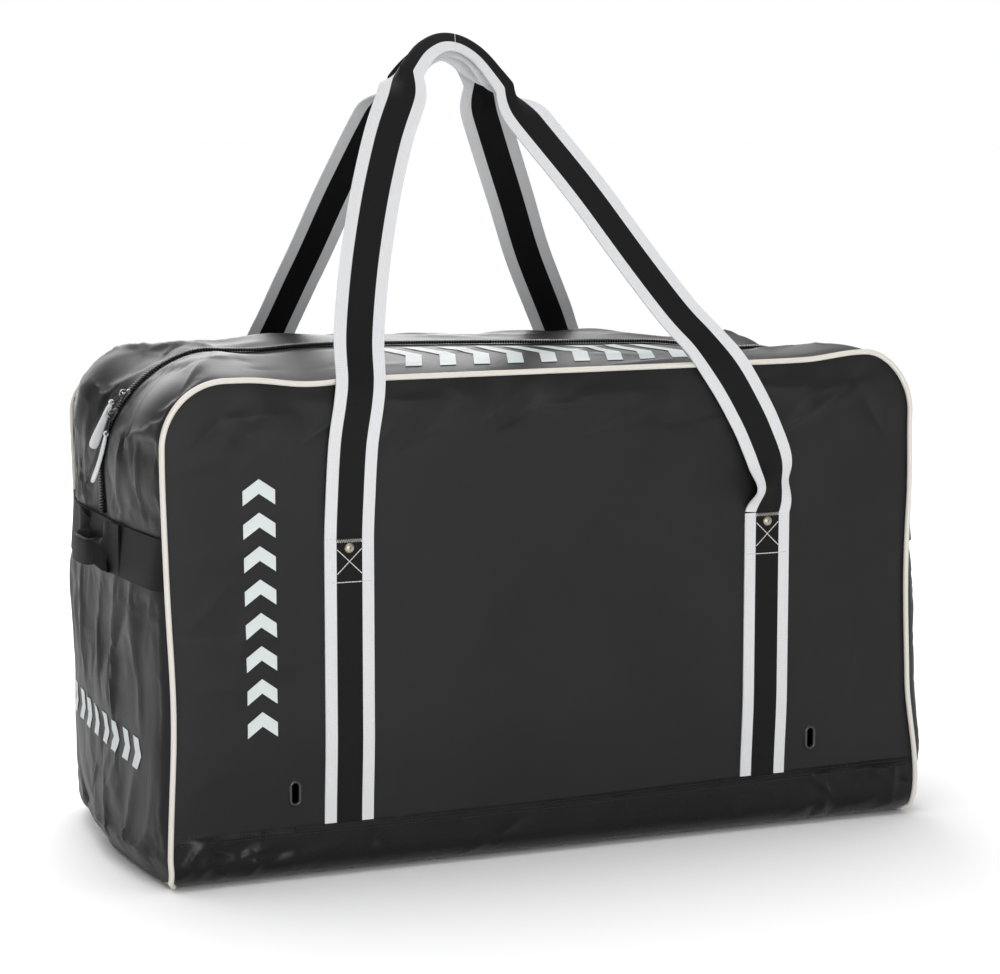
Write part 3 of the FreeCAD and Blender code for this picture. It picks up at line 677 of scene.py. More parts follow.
def shell_point(a, y, side, wrinkled=True, out=0.0):
    """Gusset point with its puff and wrinkles; side is -1 for the left half and 1 for the right."""
    p = gusset(a, y)
    n = gusset_normal(a, y)
    x, z = p[..., 0], p[..., 2]
    to_seam = pillow(HALF_D - np.abs(y), 0.012)
    flank = 1 - smooth(z, 0.4, 0.46)
    full = 0.0035 + 0.005 * smooth(y, 0.04, 0.12) if side < 0 else 0.0012
    over_top = (0.002 + 0.004 * smooth(y, 0.03, 0.11)) * to_seam
    round_corner = full * to_seam * (1 - smooth(-np.abs(x), -0.36, -0.28))
    lift = end_puff(side, y, z) * flank + (1 - flank) * np.maximum(over_top, round_corner)
    if wrinkled:
        depth = y if side < 0 else -y + 0.011
        calm = (1 - 0.9 * hump(z, 0.315, 0.022) ** 2) * (1 - 0.6 * hump(z, MARK_Z, 0.03))
        height = crease_height(depth, z, END_CREASES) * flank * calm
        over = 1 - flank
        outer = smooth(np.abs(x), 0.25, 0.3)
        height = height + over * crease_height(-np.abs(x), depth, CORNER_CREASES) * outer
        height = height + over * crease_height(x, y, TOP_CREASES) * (1 - smooth(np.abs(x), 0.31, 0.37))
        pucker = 0.0006 * np.sin(x * 2 * math.pi / 0.021 + 1.3 * np.sin(x * 31)) * hump(y, 0, 0.022)
        lift = lift + height * to_seam + over * pucker
    near_zip = smooth(np.abs(y), 0.004, 0.05)
    keep = 1 - (1 - near_zip) * smooth(z, SPLIT_Z - 0.012, SPLIT_Z + 0.006)
    return settle(p + n * (lift * keep + out)[..., None])


def drape(obj, looseness, spare=0.016, frames=14, limit=0.0035):
    """Settle a panel as cloth, held where its looseness is 0 and cut slightly large."""
    mesh = obj.data
    rest = np.array([v.co[:] for v in mesh.vertices])
    group = obj.vertex_groups.new(name="held")
    loose = looseness(rest)
    group.add([int(i) for i in np.nonzero(loose < 0.05)[0]], 1.0, "REPLACE")
    cloth = obj.modifiers.new("cloth", "CLOTH")
    for key, value in (
        ("quality", 6), ("mass", 0.0002), ("tension_stiffness", 20), ("compression_stiffness", 20),
        ("shear_stiffness", 8), ("bending_stiffness", 0.2), ("air_damping", 2),
    ):
        setattr(cloth.settings, key, value)
    cloth.settings.vertex_group_mass = "held"
    cloth.settings.shrink_min = -spare
    cloth.point_cache.frame_start = 1
    cloth.point_cache.frame_end = frames
    scene = bpy.context.scene
    for frame_number in range(1, frames + 1):
        scene.frame_set(frame_number)
    posed = obj.evaluated_get(bpy.context.evaluated_depsgraph_get()).data
    moved = np.array([v.co[:] for v in posed.vertices]) - rest
    obj.modifiers.remove(cloth)
    scene.frame_set(1)
    length = np.linalg.norm(moved, axis=1, keepdims=True) + 1e-9
    moved *= loose[:, None] * limit * np.tanh(length / limit) / length
    mesh.vertices.foreach_set("co", (rest + moved).ravel())
    mesh.update()


EDGE_Y = HALF_D - 0.0005
ZIP_Y = 0.008


def loose_end(rest):
    """Looseness of an end: 0 at its seams, along the zip, under the band and at the join on top."""
    x, y, z = rest.T
    seam = smooth(HALF_D - np.abs(y), 0.004, 0.012)
    beside_zip = 1 - (1 - smooth(np.abs(y), 0.012, 0.034)) * smooth(z, SPLIT_Z - 0.03, SPLIT_Z - 0.01)
    off_band = smooth(np.abs(z - BAND_Z), 0.027, 0.04)
    join = HALF_L + END_BULGE * swell(y) - corner_radius(y)
    off_join = smooth(np.abs(x) - join, 0.004, 0.032)
    off_mark = 1 - 0.6 * hump(z, MARK_Z, 0.03)
    return seam * beside_zip * off_band * off_join * off_mark * smooth(z, 0.012, 0.03)


def y_lines(low, high, count):
    """Depths for a strip's columns, closer together towards the piping and the zip."""
    t = np.linspace(0, 1, count)
    return low + (high - low) * (t - 0.06 * np.sin(2 * math.pi * t))


def end_shell(side):
    """An end with its two top corners, slit down the middle for the zip."""
    name = END[side]
    a = np.concatenate([np.linspace(0, 1, 90), np.linspace(1, 2, 46)[1:]])
    a = on_side(a, side)
    half = y_lines(ZIP_Y, EDGE_Y, 44)
    y = np.concatenate([-half[::-1], half])
    aa, yy = np.meshgrid(a, y, indexing="ij")
    points = shell_point(aa, yy, side)
    slit = points[:-1, :-1, 2] > SPLIT_Z
    keep = np.ones((len(a) - 1, len(y) - 1), bool)
    middle = len(half) - 1
    keep[:, middle] = ~slit[:, middle]
    spread = 0.0075 * (1 - smooth(points[..., 2], SPLIT_Z + 0.002, SPLIT_Z + 0.034))
    spread = spread * (points[..., 2] > SPLIT_Z - 0.004) * hump(yy, 0, 0.02)
    points[..., 1] += np.sign(yy) * spread
    obj = grid(name + "_end_shell", points, FABRIC, keep)
    drape(obj, loose_end)
    thicken(obj, FABRIC_T)
    finish_piece(
        obj, "bag", "shell_fabric", name + "_end_panel",
        "corner_panel_%s_front" % name, "corner_panel_%s_rear" % name,
    )
    return obj


def top_quarter(side, depth_side):
    """Half of one top flap, from the corner to the middle of the bag."""
    word = LONG[depth_side]
    a = on_side(np.linspace(2, 2.5, 70), side)
    y = depth_side * y_lines(ZIP_Y, EDGE_Y, 44)
    aa, yy = np.meshgrid(a, y, indexing="ij")
    points = shell_point(aa, yy, side)
    points[-1, :, 0] = 0
    obj = grid("top_%s_%s" % (word, END[side]), points, FABRIC)
    thicken(obj, FABRIC_T)
    return on_flap(obj, side, "top_flap_" + word)


def on_flap(obj, side, stands_for):
    """Baked in place; the left half stands for the CAD node."""
    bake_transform(obj)
    if side < 0:
        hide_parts(stands_for)
    return obj


def long_panel(side):
    """Front (-1) or rear (1) panel above the base band, with holes for its eyelets."""
    z = np.linspace(BAND_SEAM - 0.004, TOP, 150)
    t = np.linspace(-1, 1, 290)
    tt, zz = np.meshgrid(t, z)
    r = CORNER_R
    drop = np.clip(zz - (TOP - r), 0, r - 1e-6)
    half = HALF_L - r + np.sqrt(r * r - drop * drop)
    half = np.where(zz > TOP - r, half, HALF_L)
    xx = tt * half
    edge = pillow(half - np.abs(xx), 0.012) * pillow(TOP - zz, 0.01)
    points = panel_point(side, xx, zz, crease_height(xx, zz, FRONT_CREASES) * edge)
    keep = np.ones((len(z) - 1, len(t) - 1), bool)
    for eyelet_x in (-EYELET_X, EYELET_X):
        dx = np.abs((xx[:-1, :-1] + xx[1:, 1:]) / 2 - eyelet_x)
        dz = np.abs((zz[:-1, :-1] + zz[1:, 1:]) / 2 - EYELET_Z)
        keep &= ~((dx < 0.0045) & (dz < 0.0115))
    obj = thicken(grid(LONG[side] + "_panel_shell", points, FABRIC, keep), FABRIC_T)
    return finish_piece(obj, "bag", "shell_fabric", LONG[side] + "_panel")


BASE_CREASES = (
    creases(51, 26, (-0.39, 0.004), (0.39, 0.05), (1.2, 0.6), 0.03, 0.006, 0.0016)
    + creases(52, 12, (-0.39, 0.01), (-0.3, 0.05), (0.5, 0.6), 0.022, 0.005, 0.002)
    + creases(53, 12, (0.28, 0.01), (0.39, 0.05), (-0.5, 0.6), 0.022, 0.005, 0.0022)
)


def base_shell():
    """Coated base: bands front and rear, rolled under, with soft creases."""
    r = ROLL_R
    arc = np.linspace(0, math.pi / 2, 16)
    half = [(-HALF_D, z) for z in np.linspace(BAND_SEAM, r, 16)[:-1]]
    half += [(-HALF_D + r * (1 - math.cos(t)), r * (1 - math.sin(t))) for t in arc]
    half += [(y, 0.0) for y in np.linspace(-HALF_D + r, 0, 22)[1:]]
    section = np.array(half + [(-y, z) for y, z in half[-2::-1]])
    x = np.linspace(-1, 1, 260)
    xx = np.repeat(x[:, None], len(section), axis=1)
    yy = np.repeat(section[None, :, 0], len(x), axis=0)
    zz = np.repeat(section[None, :, 1], len(x), axis=0)
    reach = HALF_L + END_BULGE * swell(yy)
    px = xx * (reach - 0.0015 - tuck(yy, zz) - 0.007 * (1 - smooth(zz, 0.0, 0.014)))
    wall = smooth(np.abs(yy), HALF_D - 0.022, HALF_D - 0.004)
    seam = hump(zz, BAND_SEAM, 0.004)
    folds = crease_height(px, zz, BASE_CREASES) * pillow(HALF_L - np.abs(px), 0.006)
    py = yy + np.sign(yy) * wall * ((folds + 0.0014) * (1 - seam) + front_swell(px, np.maximum(zz, 0.03)))
    points = settle(stacked(px, py, np.maximum(zz, 0.0004)))
    obj = thicken(grid("coated_base_shell", points, COATED), FABRIC_T)
    finish_piece(obj, "bag", "coated_base", "base_panel")


# ------ piping


def arch(out, steps=40):
    """Outline of a long panel, from foot to foot, moved outwards: x, z, and the roll's depth."""
    r = CORNER_R + out
    x = HALF_L + out
    top = TOP + out
    under = np.linspace(math.radians(88), 0, 22)
    half = [(-x, ROLL_R * (1 - math.sin(t)), ROLL_R * (1 - math.cos(t))) for t in under]
    half += [(-x, z, 0.0) for z in np.linspace(ROLL_R, top - r, 60)[1:]]
    turn = np.linspace(0, math.pi / 2, steps)[1:]
    half += [(-x + r * (1 - math.cos(t)), top - r + r * math.sin(t), 0.0) for t in turn]
    half += [(u, top, 0.0) for u in np.linspace(-x + r, 0, 60)[1:]]
    return np.array(half + [(-u, z, depth) for u, z, depth in half[-2::-1]])


def piping(side):
    """Cord of a long panel: up both ends and over the top, tucked under at its feet."""
    line = arch(PIPE_OUT)
    x, z, under = line[:, 0], line[:, 1], line[:, 2]
    x = x - np.sign(x) * (tuck(side * PIPE_Y, z) + 0.006 * (1 - smooth(z, 0.0, 0.009)))
    wobble = 0.0005 * np.sin(x * 61) * np.sin(z * 47 + x * 23)
    y = side * (PIPE_Y - under + 0.0006) + wobble
    path = settle(stacked(x, y, np.maximum(z, PIPE_R)))
    obj = tube(LONG[side] + "_piping_cord", path, PIPE_R, PIPING)
    finish_piece(obj, "bag", "piping", LONG[side] + "_piping")


def foot_piping(side):
    """Cord along the foot of an end, front to rear, tucked under the fabric."""
    name = END[side]
    y = np.linspace(-HALF_D + 0.016, HALF_D - 0.016, 60)
    z = PIPE_R * 0.9 + roll(y)
    x = HALF_L + END_BULGE * swell(y) - tuck(y, z) - 0.0065 + 0.008 * hump(y, 0.085, 0.045)
    path = stacked(side * x, y, z)
    obj = tube(name + "_foot_piping", settle(path), PIPE_R * 0.9, PIPING)
    finish_piece(obj, "bag", "piping", "base_piping_" + name)


# ------ webbing


def ribbon(name, path, normals, thickness, material, columns=13, section=None):
    """Flat webbing along a path; section gives (across, out) offsets per station when it folds."""
    t = tangents(path)
    out = unit(normals - t * np.sum(normals * t, axis=1, keepdims=True))
    across = np.cross(out, t)
    v = np.linspace(-0.5, 0.5, columns)
    if section is None:
        section = np.repeat(stacked(v * WEB, 0)[None], len(path), axis=0)
    points = path[:, None] + section[..., :1] * across[:, None] + section[..., 1:] * out[:, None]
    obj = grid(name, points, material, uv=stacked((run_of(path) / WEB)[:, None], v + 0.5))
    return thicken(obj, thickness, 0.0)


def sewn_strap(side_x, side_y):
    """Webbing sewn up a long panel, from the base band to the stitched box."""
    name = LONG[side_y] + "_strap_" + END[side_x]
    z = np.linspace(BAND_SEAM - 0.001, STITCH_Z, 70)
    path = panel_point(side_y, side_x * STRAP_X, z, STRAP_MID)
    obj = ribbon(name + "_web", path, np.array([0, side_y, 0]), SEWN_T, STRIPED)
    finish_piece(obj, "bag", "striped_webbing", name)


def fold_section(closed, columns):
    """Cross-section of webbing folded lengthwise about its middle: closed is 0 flat, 1 shut."""
    v = np.linspace(-0.5, 0.5, columns) * WEB
    near = math.radians(12) * closed
    far = math.radians(174) * closed
    angle = near + (far - near) * smooth(v, -0.0022, 0.0022)
    middle = (angle[:-1] + angle[1:]) / 2
    across = np.concatenate([[0], np.cumsum(np.cos(middle))]) * (v[1] - v[0])
    out = np.concatenate([[0], -np.cumsum(np.sin(middle))]) * (v[1] - v[0])
    shift = WEB / 4 * (1 - max(math.cos(far), 0))
    return stacked(across - np.interp(0, v, across) + shift, out - np.interp(-WEB / 4, v, out))


def carry_handle(side_y, feet, crest, closed, twists):
    """A free handle: two legs that lean inwards, and the folded grip where they meet."""
    word = LONG[side_y]
    legs = [[tuple(panel_point(-1, x, z, out)) for x, out, z in foot] for foot in feet]
    path = spline(legs[0] + crest + legs[1][::-1], 420)
    path[:, 2] += 0.0012 * hump(path[:, 2], 0.8, 0.04)
    path[:, 0] -= 0.003 * smooth(path[:, 2], 0.5, 0.6)
    lean = smooth(path[:, 2], TOP - 0.015, TOP + 0.03)
    slope = math.radians(30)
    normals = stacked(0.0, -(1 - lean) - lean * math.cos(slope), lean * math.sin(slope))
    run = run_of(path)
    top = run[np.argmax(path[:, 2])]
    columns = 41
    sections = []
    side = unit(np.cross(normals, tangents(path)))
    for s in run:
        start, length = closed[0] if s < top else closed[1]
        closed_here = 1 - float(smooth(abs(s - top), start, start + length))
        sections.append(fold_section(closed_here, columns))
    for place, width, degrees in twists:
        turn = np.radians(degrees) * hump(run, run[-1] - place, width)
        normals = normals * np.cos(turn)[:, None] + side * np.sin(turn)[:, None]
    sections = np.array(sections)
    if side_y > 0:
        path = path * [1, -1, 1]
        normals = normals * [1, -1, 1]
        sections = sections * [-1, 1]
    obj = ribbon(word + "_handle_web", path, normals, WEB_T, STRIPED, columns, sections)
    i = int(np.argmax(path[:, 2])) + 3
    t = tangents(path)[i]
    out = unit(normals[i] - t * (normals[i] @ t))
    row = sections[i][2:columns // 2]
    line = path[i] + row[:, :1] * np.cross(out, t) + (row[:, 1:] + 0.0011) * out
    thread = join(word + "_grip_thread", stitch_line(line, radius=0.00035, gap=0.2, pitch=0.0025))
    finish_piece(thread, word + "_carry_handle", "thread", word + "_grip_stitch")
    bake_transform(obj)
    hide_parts(word + "_handle")


# each foot of a carry handle: x, height over the panel, z; then the crest: x, y, z
FRONT_FEET = [
    [(-0.225, 0.0011, 0.331), (-0.2245, 0.003, 0.36), (-0.2215, 0.004, 0.42), (-0.2155, 0.007, 0.464),
     (-0.212, 0.0065, 0.487)],
    [(0.225, 0.0011, 0.331), (0.2262, 0.0078, 0.346), (0.2262, 0.0114, 0.361), (0.223, 0.0105, 0.383),
     (0.2135, 0.008, 0.409), (0.201, 0.007, 0.436), (0.1795, 0.0065, 0.476)],
]
FRONT_CREST = [
    (-0.206, -0.17, 0.524), (-0.182, -0.13, 0.592), (-0.159, -0.096, 0.651), (-0.133, -0.063, 0.706),
    (-0.113, -0.043, 0.741), (-0.097, -0.029, 0.766), (-0.078, -0.017, 0.787), (-0.063, -0.0115, 0.797),
    (-0.049, -0.01, 0.801), (-0.033, -0.0115, 0.798), (-0.017, -0.017, 0.787), (-0.003, -0.028, 0.768),
    (0.01, -0.04, 0.747), (0.026, -0.053, 0.722), (0.066, -0.091, 0.659), (0.099, -0.126, 0.6),
    (0.134, -0.163, 0.537), (0.156, -0.182, 0.506),
]
REAR_FEET = [
    [(-0.225, 0.0011, 0.331), (-0.223, 0.003, 0.36), (-0.206, 0.004, 0.43), (-0.186, 0.005, 0.474)],
    [(0.225, 0.0011, 0.331), (0.221, 0.003, 0.36), (0.19, 0.004, 0.43), (0.166, 0.005, 0.474)],
]
REAR_CREST = [
    (-0.174, -0.183, 0.502), (-0.161, -0.158, 0.544), (-0.147, -0.132, 0.587), (-0.134, -0.104, 0.635),
    (-0.124, -0.085, 0.668), (-0.108, -0.058, 0.716), (-0.093, -0.037, 0.753), (-0.074, -0.02, 0.782),
    (-0.048, -0.0115, 0.7965), (-0.022, -0.018, 0.786), (-0.001, -0.031, 0.761), (0.018, -0.05, 0.728),
    (0.041, -0.074, 0.688), (0.07, -0.103, 0.637), (0.108, -0.143, 0.57), (0.15, -0.183, 0.503),
]


def end_line(side, y, z, out, wrinkled=False):
    """Points over an end's surface at given heights."""
    foot = SEAM_Z + roll(y)
    up = (z - foot) / (TOP + CROWN * swell(y) - corner_radius(y) - foot)
    return shell_point(on_side(up, side), y, side, wrinkled, out)


def end_band(side):
    """Webbing band across an end."""
    name = END[side]
    y = np.linspace(-EDGE_Y + 0.001, EDGE_Y - 0.001, 120)
    path = end_line(side, y, BAND_Z, 0.0022)
    edge = np.stack([end_line(side, y, BAND_Z + dz, 0.0022) for dz in (-WEB / 2, WEB / 2)])
    normals = unit(np.cross(edge[1] - edge[0], tangents(path))) * -side
    obj = ribbon(name + "_band_web", path, normals, WEB_T, BLACK_WEB)
    finish_piece(obj, "bag", "black_webbing", name + "_end_band")


# half of the grab's plan from its middle: distance along the band, height over it
GRAB_PLAN = [
    (0.009, 0.0172), (0.026, 0.015), (0.042, 0.008), (0.051, 0.0022), (0.06, 0.0005), (0.07, 0.0002),
    (0.08, 0.0),
]


def grab_half(side, end):
    """Half of an end's grab handle: its sewn foot, then the free folded middle."""
    name = END[side]
    plan = spline([(-y, out) for y, out in GRAB_PLAN[::-1]] + GRAB_PLAN, 181)[90:]
    y, out = plan.T
    path = end_line(side, end * y, BAND_Z, 0.0042)
    path[:, 0] += side * out
    sag = smooth(out, 0.002, 0.017)
    path[:, 2] -= 0.009 * sag
    normals = stacked(float(side), 0.0, -0.1 * sag)
    columns = 33
    sections = np.array([fold_section(0.72 * float(t), columns) for t in sag])
    sections = sections * [side * end, 1]
    obj = ribbon("%s_grab_%s" % (name, LONG[end]), path, normals, GRAB_T, BLACK_WEB, columns, sections)
    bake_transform(obj)
    if end < 0:
        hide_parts(name + "_grab_handle", name + "_grab_handle_feet")


def stitch_line(points, radius=0.00045, gap=0.35, pitch=0.0034, material=THREAD):
    """Row of separate stitches along a line, as one object each."""
    run = run_of(points)
    count = max(int(run[-1] / pitch), 1)
    pieces = []
    for i in range(count):
        s = np.linspace(i + gap / 2, i + 1 - gap / 2, 4) * run[-1] / count
        pieces.append(tube("stitch", at_run(s, run, points), radius, material, 6))
    return pieces


def strap_thread(side_y):
    """Thread over both straps of a long panel: cross, closing line, zigzag and edge rows."""
    pieces = []
    for x in (-STRAP_X, STRAP_X):
        for lean in (1, -1):
            t = np.linspace(0, 1, 30)
            line = panel_point(side_y, x + WEB / 4 * lean * (2 * t - 1), 0.297 + 0.024 * t, STRAP_FACE)
            pieces += stitch_line(line, gap=0.12, pitch=0.003)
        u = np.linspace(x - WEB / 2 + 0.002, x + WEB / 2 - 0.002, 20)
        pieces += stitch_line(panel_point(side_y, u, BOX_Z, STRAP_FACE), gap=0.12)
        count = 29
        u = np.linspace(x - WEB / 4, x + WEB / 4, count)
        z = STITCH_Z - 0.0035 + 0.003 * (np.arange(count) % 2)
        pieces.append(tube("zigzag", panel_point(side_y, u, z, STRAP_FACE), 0.00045, THREAD, 6))
        for edge in (-0.0225, 0.0225):
            z = np.linspace(BAND_SEAM + 0.002, STITCH_Z - 0.002, 60)
            line = panel_point(side_y, x + edge, z, 0.002)
            pieces += stitch_line(line, radius=0.00025, gap=0.4, pitch=0.004)
    obj = join(LONG[side_y] + "_strap_thread", pieces)
    finish_piece(obj, "bag", "thread", LONG[side_y] + "_strap_stitching")


def seam_thread(side_y):
    """Two rows of dark thread along the top of the coated base."""
    pieces = []
    x = np.linspace(-HALF_L + 0.006, HALF_L - 0.006, 240)
    for drop in (0.0025, 0.0085):
        line = panel_point(side_y, x, BAND_SEAM - drop, 0.0026)
        pieces += stitch_line(line, radius=0.0003, material=DARK_THREAD)
    obj = join(LONG[side_y] + "_seam_thread", pieces)
    finish_piece(obj, "bag", "thread")


def lathe(name, profile, centre, axis_y, material, sides=28):
    """Turned piece about a line along Y; profile is (radius, height) pairs, centre outwards."""
    angle = circle(sides)
    rings = [stacked(r * np.cos(angle), axis_y * height, r * np.sin(angle)) for r, height in profile]
    verts = np.vstack(rings) + centre
    return add_mesh(name, verts, ring_faces(len(profile), sides, turned=True), material)


def rivets(side_y):
    """Domed rivet heads over the straps' stitched boxes, with washers inside."""
    pieces = []
    head = [(0.0006, 0.0021), (0.002, 0.002), (0.0034, 0.0016), (0.0043, 0.001), (0.0048, 0.0004),
            (0.005, 0.0), (0.0047, -0.0006)]
    washer = [(0.005, 0.0), (0.005, 0.0008), (0.0044, 0.0011), (0.0016, 0.0011), (0.0012, 0.0006)]
    for x in (-STRAP_X, STRAP_X):
        pieces.append(lathe("head", head, panel_point(side_y, x, RIVET_Z, STRAP_FACE), side_y, RIVET))
        pieces.append(lathe("washer", washer, panel_point(side_y, x, RIVET_Z, -FABRIC_T), -side_y, RIVET))
    word = LONG[side_y]
    finish_piece(
        join(word + "_rivet_heads", pieces), "bag", "rivet_metal", word + "_rivets", word + "_rivet_washers"
    )


def obround(x, z, grow, count=14):
    """Upright slot outline, grown outwards from the eyelet's opening."""
    r = SLOT_R + grow
    turn = np.linspace(0, math.pi, count)
    arc = stacked(r * np.cos(turn), SLOT_HALF - SLOT_R + r * np.sin(turn))
    return np.vstack([arc, -arc]) + [x, z]


def eyelets(side_y):
    """Slot-shaped grommets near the foot of a long panel."""
    profile = [
        (0.0, 0.004), (0.0, -0.0004), (0.0003, -0.0011), (0.001, -0.0016), (0.002, -0.0016),
        (0.0028, -0.0011), (0.0033, -0.0002), (0.0033, 0.0016), (0.0033, 0.003), (0.0012, 0.004),
    ]
    pieces = []
    for x in (-EYELET_X, EYELET_X):
        face = panel_point(side_y, x, EYELET_Z)
        rings = []
        for grow, depth in profile + profile[:1]:
            x_line, z_line = obround(face[0], face[2], grow).T
            rings.append(stacked(x_line, face[1] - side_y * depth, z_line))
        rings = np.array(rings)
        rings = np.concatenate([rings, rings[:, :1]], axis=1)
        pieces.append(grid("eyelet", rings, EYELET))
    obj = join(LONG[side_y] + "_eyelet_rims", pieces)
    weld(obj, 0.00001)
    finish_piece(obj, "bag", "eyelet_paint", LONG[side_y] + "_eyelets")


def weld(obj, reach):
    """Merge vertices that coincide and turn the faces the same way."""
    mesh = bmesh.new()
    mesh.from_mesh(obj.data)
    bmesh.ops.remove_doubles(mesh, verts=mesh.verts[:], dist=reach)
    bmesh.ops.recalc_face_normals(mesh, faces=mesh.faces[:])
    mesh.to_mesh(obj.data)
    mesh.free()


# ------ zip

TOOTH_PITCH = 0.0028
TAPE_T = 0.0006
TAPE_EDGE = 0.014


def zip_stations(side, low, high):
    """Evenly spaced places along the zip line between two values of a, with their axes."""
    a = on_side(np.linspace(low, high, 900), side)
    p = settle(gusset(a, 0.0))
    return p, gusset_normal(a, np.zeros_like(a)), tangents(p), run_of(p)


def tooth_rows(name, side, depth, low, high):
    """Coil teeth of one tape, with their tips reaching between the other row's."""
    p, n, t, run = zip_stations(side, low, high)
    sides = 8
    rings = ((-0.0009, 0.35), (-0.0003, 0.9), (0.0044, 1.0), (0.0058, 0.5))
    count = int(run[-1] / TOOTH_PITCH)
    at = (np.arange(count) + (0.25 if depth < 0 else 0.75)) * run[-1] / count
    verts = []
    faces = []
    for centre, up, along in zip(at_run(at, run, p), unit(at_run(at, run, n)), unit(at_run(at, run, t))):
        faces += [tuple(len(verts) + v for v in face) for face in ring_faces(len(rings), sides, turned=True)]
        proud = 0.0014 + 0.0018 * float(smooth(-abs(centre[0]), -0.3, -0.27))
        for reach, size in rings:
            for turn in circle(sides) + math.pi / sides:
                verts.append(
                    centre + np.array([0, depth * reach, 0])
                    + along * (reach * 0.12 + 0.00084 * size * math.cos(turn))
                    + up * (proud + 0.0021 * size * math.sin(turn))
                )
    obj = add_mesh(name, verts, faces, COIL)
    weld(obj, 0.0000001)
    return obj


def tape(name, side, low, high, inner, outer):
    """Woven tape under the fabric's edge, between two depths."""
    a = on_side(np.linspace(low, high, 90), side)
    y = np.linspace(inner, outer, 12)
    aa, yy = np.meshgrid(a, y, indexing="ij")
    points = settle(gusset(aa, yy) - gusset_normal(aa, yy) * 0.001)
    return thicken(grid(name, points, LINING), TAPE_T)


# places along the gusset: the zip's low end, the join of corner and top, the middle of the top
CORNER_LOW, JOIN, MIDDLE = 0.895, 2.0, 2.5


def corner_zip(side):
    """The zip round a top corner, down to where the end closes."""
    name = END[side]
    rows = [tooth_rows("row", side, depth, CORNER_LOW, JOIN) for depth in (-1, 1)]
    teeth = join(name + "_corner_coil", rows)
    finish_piece(teeth, "bag", "zip_coil", name + "_corner_zip_teeth")
    strip = tape(name + "_corner_tape", side, CORNER_LOW, JOIN + 0.01, -TAPE_EDGE, TAPE_EDGE)
    finish_piece(strip, "bag", "zip_tape", name + "_corner_zip_tape")


def top_zip(side, depth):
    """A quarter of the zip along the top."""
    word = LONG[depth]
    name = "%s_%s" % (word, END[side])
    teeth = tooth_rows(name + "_coil", side, depth, JOIN, MIDDLE)
    on_flap(teeth, side, word + "_zip_teeth")
    strip = tape(name + "_tape", side, JOIN, MIDDLE, depth * 0.0006, depth * TAPE_EDGE)
    on_flap(strip, side, word + "_zip_tape")


ARC_R = CROWN_R
ARC_CENTRE = np.array([-HALF_L - END_BULGE + CROWN_R, 0, TOP + CROWN - CROWN_R])
# degrees round the corner's arc, the pull's eye and tip, and whether its face is towards the end
SLIDERS = {
    "upper": (51.3, (-0.4031, 0.004, 0.45), (-0.421, 0.012, 0.404), True),
    "lower": (61.9, (-0.4115, -0.005, 0.42), (-0.4285, -0.013, 0.3735), False),
}


def over_arc(degrees, along, height):
    """Point above the zip line's corner; along is a distance further down the arc."""
    angle = math.radians(degrees) + np.asarray(along, float) / ARC_R
    reach = ARC_R + np.asarray(height, float)
    return ARC_CENTRE + stacked(-reach * np.sin(angle), 0.0, reach * np.cos(angle))


def slider(name, degrees):
    """Painted slider body: shoulders at its upper end, a narrower tail, and side lips."""
    stations = [(-0.0072, 0.0034), (-0.0066, 0.005), (-0.005, 0.0058), (-0.002, 0.0058),
                (0.001, 0.005), (0.0046, 0.0046), (0.0066, 0.004), (0.0073, 0.0026)]
    verts = []
    for along, w in stations:
        dome = 0.0006 * (1 - (along / 0.0073) ** 2)
        profile = [(-w, 0.0002), (-w, 0.0028), (-w + 0.0008, 0.0038 + dome), (0.0, 0.0041 + dome),
                   (w - 0.0008, 0.0038 + dome), (w, 0.0028), (w, 0.0002), (w - 0.0009, 0.0004),
                   (w - 0.0009, 0.0014), (-w + 0.0009, 0.0014), (-w + 0.0009, 0.0004)]
        for y, height in profile:
            point = over_arc(degrees, along, height)
            point[1] = y
            verts.append(point)
    faces = ring_faces(len(stations), len(profile), turned=True)
    obj = add_mesh(name + "_slider_body", verts, faces, SLIDER)
    weld(obj, 0.0000001)
    level = obj.modifiers.new("smooth", "SUBSURF")
    level.levels = 2
    bake(obj)
    finish_piece(obj, name + "_zip_slider", "slider_paint", name + "_slider")
    turn = np.linspace(-0.35, math.pi + 0.35, 26)
    hoop = over_arc(degrees, 0.0034 * np.cos(turn), 0.0042 + 0.005 * np.maximum(np.sin(turn), -0.3))
    bridge = tube(name + "_bridge", hoop, 0.0011, BRIGHT, 10)
    for v in bridge.data.vertices:
        v.co.y *= 1.25
    finish_piece(bridge, name + "_zip_slider", "slider_metal", name + "_slider_bridge")


def axes_between(start, end):
    """Frame whose Z runs from start to end and whose Y stays near the bag's Y."""
    z = unit(np.subtract(end, start))
    y = unit(np.array([0, 1.0, 0]) - z * z[1])
    return frame_matrix(start, np.cross(y, z), y, z)


def placed(points, place):
    """Local points in the bag's frame."""
    return np.asarray(points, float) @ place[:3, :3].T + place[:3, 3]


